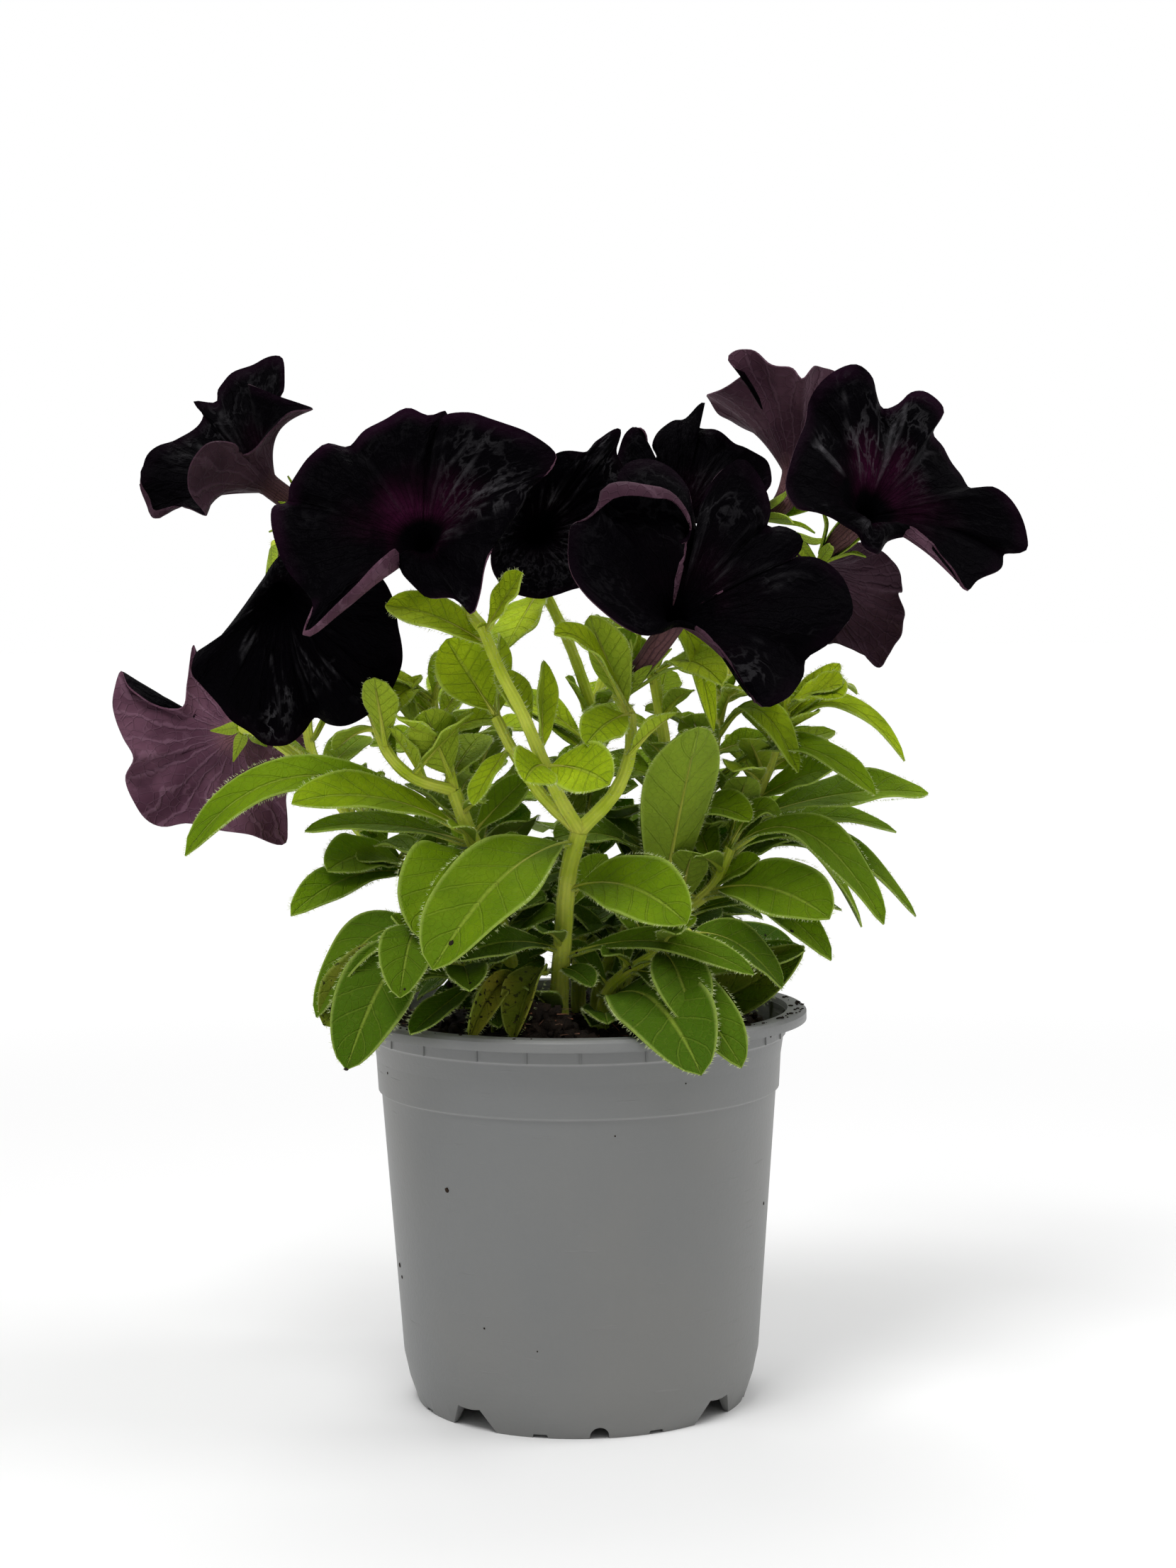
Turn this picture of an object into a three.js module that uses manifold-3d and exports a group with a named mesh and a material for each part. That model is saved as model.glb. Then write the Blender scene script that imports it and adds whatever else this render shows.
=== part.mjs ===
// Potted black petunia: a bushy plant of leafy shoots and velvety dark blooms in a round nursery pot.
// Millimetres, +Z up. The origin is on the pot's axis, on the surface that the pot stands on.

import * as THREE from 'three';
import { mergeVertices } from 'three/addons/utils/BufferGeometryUtils.js';
import Module from 'manifold-3d';

const wasm = await Module();
wasm.setup();

// Driving dimensions of the pot
const RIM_RADIUS = 65;
const RIM_TOP = 111;
const LIP_HEIGHT = 3.2;
const LIP_WALL = 1.3;
const COLLAR_TOP_RADIUS = 57.9;
const COLLAR_TOP = 103.3;
const COLLAR_BOTTOM = 88.4;
const BODY_TOP_RADIUS = 56.2;
const BODY_BOTTOM_RADIUS = 49.3;
const FOOT_RADIUS = 46.9;
const FOOT_HEIGHT = 7;
const WALL = 1.2;
const POT_SIDES = 32;
const FOOT_TURN = 6;
const FOOT_GAP_TOP = 7;
const FOOT_GAP_BOTTOM = 15;
const DRAIN_HOLES = 8;
const DRAIN_RADIUS = 4;
const DRAIN_CIRCLE = 36;

// Driving dimensions of the plant
const SOIL_TOP = 106.5;
const GAP = 0.3;
const SLIVER = 0.2;
const SCRAP = 1;
const STEM_SIDES = 6;
const STEM_STEP = 14;
const BLADE = 0.8;
const BIG_LEAF = 13;
const LEAF_ROLL = 28;
const PETIOLE = 1.9;
const PETAL = 0.8;
const PETAL_COLUMNS = 4;
const LIMB_ROWS = [0, 0.28, 0.62, 1];
const LIMB_STEPS = 24;
const THROAT_RADIUS = 3;
const THROAT_DEPTH = 5;
const THROAT_SLOPE = 68;
const SLACK = 1.06;
const LOBE_FOLD = 1.6;
const LOBE_SPAN = 72;
const NOTCH = 0.84;
const TUBE_BASE = 0.62;
const TUBE_WAIST = 0.95;
const TUBE_WAIST_PLACE = 0.45;
const TUBE_STRAIGHT = 12;
const STALK_RADIUS = 1.3;
const STALK_SIDES = 5;
const STALK_BACK = 4;
const SEPALS = 5;
const SEPAL_LENGTH = 13;
const GOLDEN_ANGLE = 137.5;

const DEG = Math.PI / 180;
const UP = new THREE.Vector3(0, 0, 1);

const POT_GREY = 0x7c8083;
const SOIL_BROWN = 0x1f1712;
const LEAF_GREEN = 0x6f9a22;
const PETAL_BLACK = 0x150a12;

// Blooms: where the tube leaves the calyx, where the throat opens, which way the mouth faces, and five
// lobes as [angle in the mouth's plane, reach, bend of the edge: minus rolls it back].
const BLOOMS = {
  bloom_top_left: {
    calyx: [-70, 6, 250], throat: [-91, 0, 270], facing: [-0.7, -0.4, 0.6],
    lobes: [[38, 31, -65], [103, 33, -10], [162, 34, 10], [-115, 37, 5], [-62, 31, -50]],
  },
  bloom_front_left: {
    calyx: [-30, -36, 229], throat: [-41, -60, 252], facing: [-0.3, -0.85, 0.42],
    lobes: [[36, 39, -25], [101, 29, -25], [151, 34, -20], [-143, 43, -50], [-57, 41, -65]],
  },
  bloom_low_left: {
    calyx: [-82, -12, 240], throat: [-81, -42, 227], facing: [0.05, -0.9, -0.4],
    lobes: [[12, 30, -20], [138, 15, -60], [-125, 37, -20], [-86, 42, -15], [-42, 42, -15]],
  },
  bloom_far_left: {
    calyx: [-92, -14, 192], throat: [-100, 14, 188], facing: [-0.3, 0.9, -0.15],
    lobes: [[25, 37, -10], [86, 27, -20], [-168, 26, -20], [-115, 37, -10], [-35, 35, -10]],
  },
  bloom_middle: {
    calyx: [-13, 6, 240], throat: [-8, -24, 246], facing: [0.1, -0.9, 0.1],
    lobes: [[5, 20, -40], [75, 23, -40], [140, 22, -40], [-156, 19, -30], [-95, 21, -30]],
  },
  bloom_front_right: {
    calyx: [14, -33, 203], throat: [28, -58, 224], facing: [0.2, -0.85, 0.42],
    lobes: [[0, 45, -20], [62, 42, -20], [114, 36, -55], [165, 34, -25], [-58, 36, -30]],
  },
  bloom_back_middle: {
    calyx: [26, 31, 232], throat: [31, 6, 254], facing: [0.1, -0.75, 0.6],
    lobes: [[20, 30, -20], [70, 36, -20], [125, 32, -25], [-160, 26, -20], [-70, 26, -20]],
  },
  bloom_top_right: {
    calyx: [57, 24, 252], throat: [65, 33, 280], facing: [0.25, 0.42, 0.87],
    lobes: [[8, 31, -10], [72, 31, -10], [138, 27, -10], [-150, 26, -15], [-70, 27, -15]],
  },
  bloom_right: {
    calyx: [73, 11, 240], throat: [87, -15, 254], facing: [0.4, -0.75, 0.35],
    lobes: [[-17, 48, -30], [55, 38, -20], [99, 40, -15], [-175, 40, -20], [-60, 36, -30]],
  },
  bloom_low_right: {
    calyx: [63, 9, 243], throat: [72, 32, 231], facing: [0.35, 0.8, -0.48],
    lobes: [[0, 27, -10], [75, 26, -10], [148, 26, -10], [-141, 34, -10], [-72, 28, -10]],
  },
};

// Shoots: stems as routes with a radius at their root and tip, leaves as
// [stem, place along it, tip, width, rise of the arch, roll], blooms as [name, stem it leaves from the
// end of, points on the way], and rows of leaves set round a stem by a rule as
// [stem, first place, last place, number, first direction, reach, drop].
const SHOOTS = {
  shoot_front: {
    stems: [
      {
        radius: [2.4, 2.1],
        route: [[-5, -22, 96], [-5, -22, 118], [-4, -26, 132], [-2, -34, 153], [1, -38, 164]],
      },
      { radius: [1.7, 1.3], route: [[1, -38, 164], [-9, -42, 174], [-16, -44, 185], [-21, -42, 195]] },
      { radius: [1.8, 1.4], route: [[1, -38, 164], [11, -40, 175], [15, -39, 186], [15, -36, 195]] },
      {
        radius: [1.8, 1.3],
        route: [
          [1, -38, 164], [-4, -44, 173], [-7, -48, 180], [-14, -54, 197], [-19, -56, 207], [-24, -54, 219],
        ],
      },
    ],
    leaves: [
      [0, 0.95, [-37, -72, 131], 27, 16, 0],
      [0, 0.74, [29, -61, 141], 20, 12, 25],
      [0, 0.45, [49, -45, 126], 10, 14, 10],
      [0, 0.48, [-33, -54, 131], 13, 8, -10],
      [0, 0.5, [-9, -44, 137], 8, 4, 0],
      [0, 0.4, [4, -41, 122], 8, 4, 0],
      [1, 1, [-34, -42, 220], 17, 0, -50],
      [1, 0.98, [-20, -33, 221], 13, 0, 75],
      [2, 1, [3, -57, 188], 12, 4, -20],
      [2, 1, [-5, -50, 217], 10, 14, -20],
      [2, 1, [8, -43, 222], 14, 0, 60],
      [3, 0.35, [-13, -66, 179], 14, 4, -35],
      [3, 0.35, [9, -66, 178], 16, 4, 30],
      [3, 0.4, [-8, -44, 214], 12, 0, 70],
      [3, 0.97, [-13, -61, 233], 10, 2, 40],
    ],
    blooms: [['bloom_front_right', 2, []], ['bloom_front_left', 3, [[-28, -46, 224]]]],
  },
  shoot_left: {
    stems: [
      {
        radius: [2.2, 1.8],
        route: [
          [-17, -6, 96], [-18, -8, 117], [-21, -18, 136], [-26, -28, 155], [-30, -32, 166], [-33, -34, 175],
        ],
      },
      { radius: [1.5, 1.3], route: [[-33, -34, 175], [-44, -38, 179], [-50, -38, 185], [-55, -30, 196]] },
      { radius: [1.4, 1.1], route: [[-33, -34, 175], [-35, -32, 184], [-38, -28, 194], [-39, -25, 202]] },
    ],
    leaves: [
      [0, 0.86, [-106, -35, 158], 13, 38, -20, 0.66],
      [0, 0.84, [-75, -52, 173], 16, 12, -10],
      [0, 0.8, [-74, -30, 164], 10, 8, 0],
      [0, 0.74, [-40, -60, 137], 24, 20, 0],
      [2, 0.1, [-40, -46, 197], 15, 0, 60],
      [2, 0.9, [-52, -38, 198], 11, 12, 0],
      [2, 0.3, [-51, -24, 201], 17, 0, 60],
      [1, 0.85, [-66, -28, 186], 9, 4, 30],
      [0, 0.66, [-56, -20, 159], 14, 6, 20],
    ],
    rows: [[0, 0.35, 0.6, 2, 150, 28, -6], [2, 0.6, 1, 3, 60, 19, 10]],
    blooms: [['bloom_low_left', 1, [[-63, -18, 215], [-73, -2, 235], [-80, 2, 243]]]],
  },
  shoot_far_left: {
    stems: [
      {
        radius: [2.1, 1.5],
        route: [[-20, 2, 96], [-21, 0, 116], [-30, -2, 135], [-42, -2, 146], [-58, 0, 158], [-71, 0, 175]],
      },
      { radius: [1.3, 1.3], route: [[-71, 0, 175], [-76, 6, 186], [-78, 14, 205]] },
    ],
    leaves: [
      [0, 0.62, [-77, -40, 142], 12, 12, -15],
      [0, 0.64, [-68, -30, 153], 15, 10, -20],
      [0, 0.84, [-53, -18, 179], 9, 0, 60],
      [0, 0.95, [-92, 22, 170], 13, 12, 0],
      [1, 0.6, [-70, 30, 200], 12, 8, 0],
    ],
    rows: [[0, 0.45, 0.75, 3, 95, 32, -4]],
    blooms: [
      ['bloom_far_left', 0, [[-77, -8, 182], [-84, -19, 189], [-90, -21, 192]]],
      ['bloom_top_left', 1, [[-72, 18, 225], [-64, 13, 242]]],
    ],
  },
  shoot_low_left: {
    stems: [
      { radius: [1.8, 1.3], route: [[-23, -16, 98], [-25, -20, 117], [-37, -38, 131], [-43, -45, 139]] },
    ],
    leaves: [
      [0, 0.9, [-61, -58, 103], 21, 16, -15],
      [0, 0.95, [-46, -66, 127], 15, 14, 0],
      [0, 0.8, [-70, -45, 115], 17, 28, 0],
      [0, 0.6, [-28, -62, 124], 11, 6, 0],
      [0, 0.45, [-44, -57, 112], 11, 2, 0],
      [0, 0.4, [-21, -47, 112], 10, 4, 0],
      [0, 0.35, [-54, -20, 118], 15, 14, 0],
    ],
  },
  shoot_low_right: {
    stems: [{ radius: [1.8, 1.3], route: [[7, -17, 98], [8, -20, 117], [22, -32, 130], [31, -36, 136]] }],
    leaves: [
      [0, 0.3, [32, -72, 103], 25, 22, 10],
      [0, 0.8, [31, -57, 122], 16, 10, 0],
      [0, 0.95, [48, -46, 120], 17, 12, 0],
      [0, 0.55, [43, -61, 103], 17, 16, 0],
      [0, 0.2, [8, -48, 113], 12, 6, 0],
    ],
  },
  shoot_right: {
    stems: [
      {
        radius: [2.1, 1.4],
        route: [[11, -4, 96], [12, -5, 116], [25, -10, 135], [38, -12, 146], [43, -14, 157]],
      },
    ],
    leaves: [
      [0, 0.55, [33, -46, 192], 22, 8, 0],
      [0, 0.97, [84, -30, 137], 15, 32, 0],
      [0, 0.93, [81, 0, 133], 16, 34, 0],
      [0, 0.8, [68, -42, 140], 21, 10, 15],
      [0, 0.76, [69, -36, 128], 12, 16, 0],
      [0, 1, [60, -8, 160], 10, 18, 0],
      [0, 0.4, [63, -22, 129], 16, -4, 0],
      [0, 0.6, [77, 18, 136], 10, 12, 0],
    ],
  },
  shoot_far_right: {
    stems: [
      {
        radius: [2.2, 1.5],
        route: [
          [20, 6, 96], [21, 5, 115], [28, 5, 134], [37, 6, 147], [46, 6, 160], [53, 5, 174], [58, 4, 188],
          [61, 2, 201],
        ],
      },
    ],
    leaves: [
      [0, 0.86, [94, 5, 180], 10, 28, 0, 0.45],
      [0, 0.94, [77, -5, 208], 13, 4, 10],
      [0, 0.95, [75, -12, 199], 14, 6, 10],
      [0, 0.93, [82, 20, 199], 8, 14, 0],
      [0, 0.78, [74, 15, 184], 16, 4, 20],
      [0, 0.64, [102, 15, 170], 17, 8, 0],
      [0, 0.56, [94, 26, 158], 11, 14, 0],
      [0, 0.5, [69, 34, 158], 12, 12, 0],
      [0, 0.45, [99, 8, 134], 15, 36, 0],
    ],
    rows: [[0, 0.6, 0.9, 3, 110, 28, 4]],
    blooms: [
      ['bloom_right', 0, [[65, 5, 215], [70, 9, 229]]],
      ['bloom_low_right', 0, [[57, -2, 222], [57, 0, 238]]],
    ],
  },
  shoot_middle: {
    stems: [
      {
        radius: [2, 1.4],
        route: [
          [6, 9, 96], [6, 8, 115], [15, 6, 134], [23, 0, 157], [26, -8, 175], [25, -12, 186], [22, -15, 206],
        ],
      },
    ],
    leaves: [
      [0, 1, [40, -32, 203], 14, 10, 0],
      [0, 0.99, [38, -24, 194], 9, 42, 0],
      [0, 1, [6, -4, 222], 12, 4, 30],
      [0, 0.72, [6, -14, 180], 15, 4, 0],
      [0, 0.6, [48, -22, 165], 15, 10, 0],
      [0, 0.52, [-6, -14, 160], 16, 8, 0],
      [0, 0.4, [12, -22, 140], 14, 8, 0],
    ],
    rows: [[0, 0.3, 0.45, 2, 230, 26, 2]],
  },
  shoot_back_right: {
    stems: [
      {
        radius: [2.1, 1.4],
        route: [
          [15, 19, 96], [16, 18, 114], [26, 18, 132], [35, 16, 155], [38, 12, 174], [40, 8, 187],
          [43, 6, 203],
        ],
      },
    ],
    leaves: [
      [0, 0.84, [62, -14, 178], 10, 28, 0],
      [0, 0.72, [87, -16, 160], 11, 26, 0],
      [0, 0.95, [52, -14, 200], 12, 6, 0],
    ],
    rows: [[0, 0.35, 0.95, 6, 20, 30, 0]],
    blooms: [['bloom_top_right', 0, [[45, 10, 219], [50, 16, 236]]]],
  },
  shoot_back: {
    stems: [
      { radius: [2.1, 1.4], route: [[0, 24, 96], [0, 25, 114], [1, 32, 140], [3, 38, 168], [5, 37, 195]] },
    ],
    leaves: [[0, 0.62, [-10, 12, 178], 15, 8, 0], [0, 0.8, [14, 14, 196], 14, 6, 0]],
    rows: [[0, 0.3, 0.98, 8, 60, 38, 2]],
    blooms: [
      ['bloom_back_middle', 0, [[13, 38, 214]]],
      ['bloom_middle', 0, [[-2, 28, 215], [-10, 18, 232]]],
    ],
  },
  shoot_back_left: {
    stems: [
      {
        radius: [2.1, 1.3],
        route: [[-15, 17, 96], [-16, 19, 114], [-24, 30, 138], [-32, 38, 165], [-36, 38, 192]],
      },
    ],
    leaves: [[0, 0.5, [-14, 2, 164], 15, 8, 0], [0, 0.75, [-22, 8, 190], 15, 6, 0]],
    rows: [[0, 0.3, 1, 9, 82, 36, 0]],
  },
  shoot_far_back: {
    stems: [{ radius: [2, 1.3], route: [[28, 28, 96], [30, 30, 114], [37, 44, 132], [42, 55, 156]] }],
    rows: [[0, 0.35, 1, 6, 20, 37, 2]],
  },
};

// Ways a leaf is turned aside where it would meet another piece: [lift of its tip, swing, roll]
const TURNS = [
  [0, 0, 0], [4, 0, 0], [-4, 0, 0], [0, 5, 0], [0, -5, 0], [7, 4, 0], [7, -4, 0], [-6, 5, 0], [-6, -5, 0],
  [11, 0, 0], [-9, 0, 0], [0, 10, 0], [0, -10, 0], [12, 9, 0], [12, -9, 0], [-10, 10, 0], [-10, -10, 0],
  [4, 0, 25], [4, 0, -25], [0, 16, 0], [0, -16, 0], [16, 0, 0], [18, 14, 0], [18, -14, 0], [-14, 0, 0],
];

const vec = (p) => new THREE.Vector3(...p);

// Closed body through rings of points, flat at both ends; flip picks the other diagonal of a face
function loft(rings, flip = () => false) {
  const size = rings[0].length;
  const positions = rings.flat().flatMap((p) => [p.x, p.y, p.z]);
  const index = [];
  for (let k = 0; k < rings.length - 1; k += 1) {
    for (let j = 0; j < size; j += 1) {
      const a = k * size + j;
      const b = k * size + ((j + 1) % size);
      const c = b + size;
      const d = a + size;
      index.push(...(flip(k, j) ? [a, b, d, b, c, d] : [a, b, c, a, c, d]));
    }
  }
  const top = (rings.length - 1) * size;
  for (let j = 1; j < size - 1; j += 1) {
    index.push(0, j + 1, j);
    index.push(top, top + j, top + j + 1);
  }
  const geometry = new THREE.BufferGeometry();
  geometry.setAttribute('position', new THREE.Float32BufferAttribute(positions, 3));
  geometry.setIndex(index);
  return geometry;
}

function toSolid(geometry) {
  const bare = geometry.clone();
  bare.deleteAttribute('normal');
  bare.deleteAttribute('uv');
  const merged = mergeVertices(bare, 1e-4);
  const solid = new wasm.Manifold(new wasm.Mesh({
    numProp: 3,
    vertProperties: new Float32Array(merged.attributes.position.array),
    triVerts: new Uint32Array(merged.index.array),
  }));
  if (solid.volume() <= 0) throw new Error('a solid is inside out');
  return solid;
}

function toMesh(name, solid, color, roughness) {
  const { vertProperties, triVerts } = solid.getMesh();
  const geometry = new THREE.BufferGeometry();
  geometry.setAttribute('position', new THREE.BufferAttribute(vertProperties, 3));
  geometry.setIndex(new THREE.BufferAttribute(triVerts, 1));
  geometry.computeVertexNormals();
  const material = new THREE.MeshStandardMaterial({ color, roughness, metalness: 0 });
  const mesh = new THREE.Mesh(geometry, material);
  mesh.name = name;
  return mesh;
}

// One solid from several: the slivers of the joins are cleaned away, and sealed hollows and scraps go
function join(solids) {
  const sum = solids.reduce((whole, solid) => whole.add(solid)).asOriginal().simplify(SLIVER);
  const [largest, ...others] = sum.decompose().sort((a, b) => b.volume() - a.volume());
  if (others.some((other) => other.volume() > SCRAP)) throw new Error('a piece is loose');
  return largest;
}

// Circle of points square to a direction, starting on its side vector
function ringRound(center, side, across, radius, sides) {
  return Array.from({ length: sides }, (_, j) => {
    const angle = (2 * Math.PI * j) / sides;
    return center.clone()
      .addScaledVector(side, radius * Math.cos(angle))
      .addScaledVector(across, radius * Math.sin(angle));
  });
}

// Side and across vectors square to a direction
function frameAt(direction) {
  const guide = Math.abs(direction.z) < 0.9 ? UP : new THREE.Vector3(1, 0, 0);
  const side = new THREE.Vector3().crossVectors(guide, direction).normalize();
  return { side, across: new THREE.Vector3().crossVectors(direction, side) };
}

function stemSolid(curve, from, to, grow = 0, sides = STEM_SIDES) {
  const steps = Math.max(2, Math.round(curve.getLength() / STEM_STEP));
  let side = frameAt(curve.getTangentAt(0)).side;
  const rings = [];
  for (let k = 0; k <= steps; k += 1) {
    const t = k / steps;
    const tangent = curve.getTangentAt(t);
    side = side.clone().addScaledVector(tangent, -side.dot(tangent)).normalize();
    const across = new THREE.Vector3().crossVectors(tangent, side);
    rings.push(ringRound(curve.getPointAt(t), side, across, from + (to - from) * t + grow, sides));
  }
  return toSolid(loft(rings));
}

// Half width of a blade as a share of its widest, from stalk to tip
function bladeShare(t) {
  const STALK = 0.1;
  if (t <= STALK) return 0;
  return Math.sin(Math.PI * ((t - STALK) / (1 - STALK)) ** 0.95) ** 0.65;
}

// A leaf: midline, and its section's side and face vectors at each station
function leafLine(leaf) {
  const { root, tip, rise, roll, crook } = leaf;
  const middle = root.clone().lerp(tip, crook);
  middle.z += rise;
  const curve = new THREE.QuadraticBezierCurve3(root, middle, tip);
  const heading = new THREE.Vector3(tip.x - root.x, tip.y - root.y, 0).normalize();
  return { curve, level: new THREE.Vector3().crossVectors(heading, UP), turn: roll + LEAF_ROLL * heading.x };
}

function leafSolid(leaf, grow = 0) {
  const stations = leaf.width < BIG_LEAF ? [0, 0.3, 0.7, 1] : [0, 0.18, 0.38, 0.62, 0.84, 1];
  const { curve, level, turn } = leafLine(leaf);
  const rings = stations.map((t, k) => {
    const tangent = curve.getTangent(t);
    const side = level.clone().addScaledVector(tangent, -level.dot(tangent)).normalize();
    side.applyAxisAngle(tangent, turn * DEG);
    const face = new THREE.Vector3().crossVectors(side, tangent);
    const half = Math.max((leaf.width / 2) * bladeShare(t), t < 0.5 ? 1.1 : 0.5) + grow;
    const thick = (t < 0.1 ? PETIOLE : BLADE) / 2 + grow;
    const cup = half * 0.22 + (k % 2 ? 0.05 : -0.05) * half;
    const at = curve.getPoint(t).addScaledVector(tangent, t === 1 ? grow : 0);
    const point = (across, lift) => at.clone().addScaledVector(side, across).addScaledVector(face, lift);
    return [
      point(-half, cup - thick), point(-half, cup + thick), point(0, thick),
      point(half, cup + thick), point(half, cup - thick), point(0, -thick),
    ];
  });
  return toSolid(loft(rings, (k, j) => j > 3));
}

// The surface of a bloom's limb, row by row from throat to edge, column by column round the mouth
function limbGrid(bloom) {
  const facing = vec(bloom.facing).normalize();
  const throat = vec(bloom.throat);
  const right = new THREE.Vector3().crossVectors(UP, facing).normalize();
  const above = new THREE.Vector3().crossVectors(facing, right);
  const lobes = bloom.lobes.map(([angle, reach, bend]) => ({ angle: (angle + 360) % 360, reach, bend }));
  lobes.sort((a, b) => a.angle - b.angle);
  const spokes = [];
  lobes.forEach((lobe, i) => {
    const before = lobes[(i + lobes.length - 1) % lobes.length];
    const after = lobes[(i + 1) % lobes.length];
    const gapBefore = (lobe.angle - before.angle + 360) % 360;
    const gapAfter = (after.angle - lobe.angle + 360) % 360;
    for (let c = 0; c < PETAL_COLUMNS; c += 1) {
      const u = -1 + (2 * c) / PETAL_COLUMNS;
      const other = u < 0 ? before : after;
      const gap = u < 0 ? gapBefore : gapAfter;
      const wide = Math.max(0, (gap - LOBE_SPAN) / LOBE_SPAN);
      const notch = Math.min(lobe.reach, other.reach) * NOTCH * (1 - 0.5 * wide);
      const share = Math.abs(u) ** 2.4;
      spokes.push({
        angle: (lobe.angle + (u * gap) / 2) * DEG,
        reach: lobe.reach + (notch - lobe.reach) * share,
        bend: lobe.bend + ((lobe.bend + other.bend) / 2 - lobe.bend) * share,
        fold: Math.cos(Math.PI * u),
      });
    }
  });
  return LIMB_ROWS.map((s) => spokes.map((spoke) => {
    let out = THROAT_RADIUS;
    let along = spoke.fold * LOBE_FOLD * s * s - THROAT_DEPTH;
    const step = ((spoke.reach - THROAT_RADIUS) * SLACK) / LIMB_STEPS;
    for (let i = 0; i < LIMB_STEPS * s; i += 1) {
      const q = (i + 0.5) / LIMB_STEPS;
      const slope = (THROAT_SLOPE * (1 - q) ** 2 + spoke.bend * q * q) * DEG;
      out += step * Math.cos(slope);
      along += step * Math.sin(slope);
    }
    return throat.clone()
      .addScaledVector(right, out * Math.cos(spoke.angle))
      .addScaledVector(above, out * Math.sin(spoke.angle))
      .addScaledVector(facing, along);
  }));
}

function bloomLine(bloom) {
  const facing = vec(bloom.facing).normalize();
  const end = vec(bloom.throat).addScaledVector(facing, -THROAT_DEPTH);
  const middle = end.clone().addScaledVector(facing, -TUBE_STRAIGHT);
  return new THREE.QuadraticBezierCurve3(vec(bloom.calyx), middle, end);
}

function corollaSolid(bloom) {
  const grid = limbGrid(bloom);
  const count = grid[0].length;
  const normals = grid.map((row, i) => row.map((p, j) => {
    const next = grid[Math.min(i + 1, grid.length - 1)][j];
    const last = grid[Math.max(i - 1, 0)][j];
    const round = row[(j + 1) % count].clone().sub(row[(j + count - 1) % count]);
    return next.clone().sub(last).cross(round).normalize();
  }));
  const shifted = (i, amount) => grid[i].map((p, j) => p.clone().addScaledVector(normals[i][j], amount));
  const line = bloomLine(bloom);
  const facing = vec(bloom.facing).normalize();
  const throatRing = grid[0].map((p) => p.clone().sub(line.getPoint(1)));
  const tubeRing = (t, scale) => {
    const turn = new THREE.Quaternion().setFromUnitVectors(facing, line.getTangent(t).normalize());
    const center = line.getPoint(t);
    return throatRing.map((p) => p.clone().multiplyScalar(scale).applyQuaternion(turn).add(center));
  };
  const outer = [tubeRing(GAP / line.getLength(), TUBE_BASE), tubeRing(TUBE_WAIST_PLACE, TUBE_WAIST)];
  grid.forEach((row, i) => outer.push(shifted(i, -PETAL / 2)));
  const inner = grid.map((row, i) => shifted(i, PETAL / 2)).reverse();
  return toSolid(loft([...outer, ...inner], (k) => k >= outer.length));
}

// Calyx of a bloom: a cup with its rim drawn out into five pointed sepals round the tube
function calyxSolid(bloom) {
  const line = bloomLine(bloom);
  const axis = line.getTangent(0).normalize();
  const base = vec(bloom.calyx);
  const { side, across } = frameAt(axis);
  // Rings as [height, radius] at a sepal, and between two sepals
  const RINGS = [
    [[-5, 1.3], [-5, 1.3]],
    [[-1.5, 3], [-1.5, 3]],
    [[SEPAL_LENGTH * 0.4, 6], [1, 3.8]],
    [[SEPAL_LENGTH, 9.5], [1.6, 3.6]],
    [[SEPAL_LENGTH * 0.4, 5], [1, 3.1]],
    [[-0.3, 2.7], [-0.3, 2.7]],
  ];
  const rings = RINGS.map((pair) => Array.from({ length: 2 * SEPALS }, (_, j) => {
    const [height, radius] = pair[j % 2];
    const angle = (j / SEPALS) * Math.PI;
    return base.clone()
      .addScaledVector(axis, height)
      .addScaledVector(side, radius * Math.cos(angle))
      .addScaledVector(across, radius * Math.sin(angle));
  }));
  return toSolid(loft(rings));
}

// Where a stem's curve is at a share of its length
function stemCurve(stem) {
  return new THREE.CatmullRomCurve3(stem.route.map(vec), false, 'centripetal');
}

function pedicelCurve(shoot, [name, stemIndex, via]) {
  const route = shoot.stems[stemIndex].route;
  const bloom = BLOOMS[name];
  const back = bloomLine(bloom).getTangent(0).normalize().multiplyScalar(-STALK_BACK);
  const end = vec(bloom.calyx).add(back);
  const points = [vec(route[route.length - 1]), ...via.map(vec), end];
  return new THREE.CatmullRomCurve3(points, false, 'centripetal');
}

// All the leaves of a shoot, the placed ones and those set round a stem by the rule
function leavesOf(shoot) {
  const curves = shoot.stems.map(stemCurve);
  const leaves = (shoot.leaves || []).map(([stem, at, tip, width, rise, roll, crook = 0.5]) => (
    { root: curves[stem].getPointAt(at), tip: vec(tip), width, rise, roll, crook }));
  (shoot.rows || []).forEach(([stem, first, last, number, start, reach, drop]) => {
    for (let i = 0; i < number; i += 1) {
      const share = number > 1 ? i / (number - 1) : 0;
      const root = curves[stem].getPointAt(first + (last - first) * share);
      const angle = (start + GOLDEN_ANGLE * i) * DEG;
      const length = reach * (1 - 0.3 * share);
      const tip = root.clone().add(new THREE.Vector3(
        length * Math.cos(angle), length * Math.sin(angle), drop + 14 * share - 6 * (i % 2)));
      leaves.push({ root, tip, width: length * 0.48, rise: 9 - 4 * (i % 3), roll: 0, crook: 0.5 });
    }
  });
  return leaves;
}

function turnedLeaf(leaf, [lift, swing, roll]) {
  const aside = new THREE.Vector3(leaf.tip.y - leaf.root.y, leaf.root.x - leaf.tip.x, 0).normalize();
  const tip = leaf.tip.clone().addScaledVector(aside, swing);
  tip.z += lift;
  return { ...leaf, tip, roll: leaf.roll + roll };
}

// Pot

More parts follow.
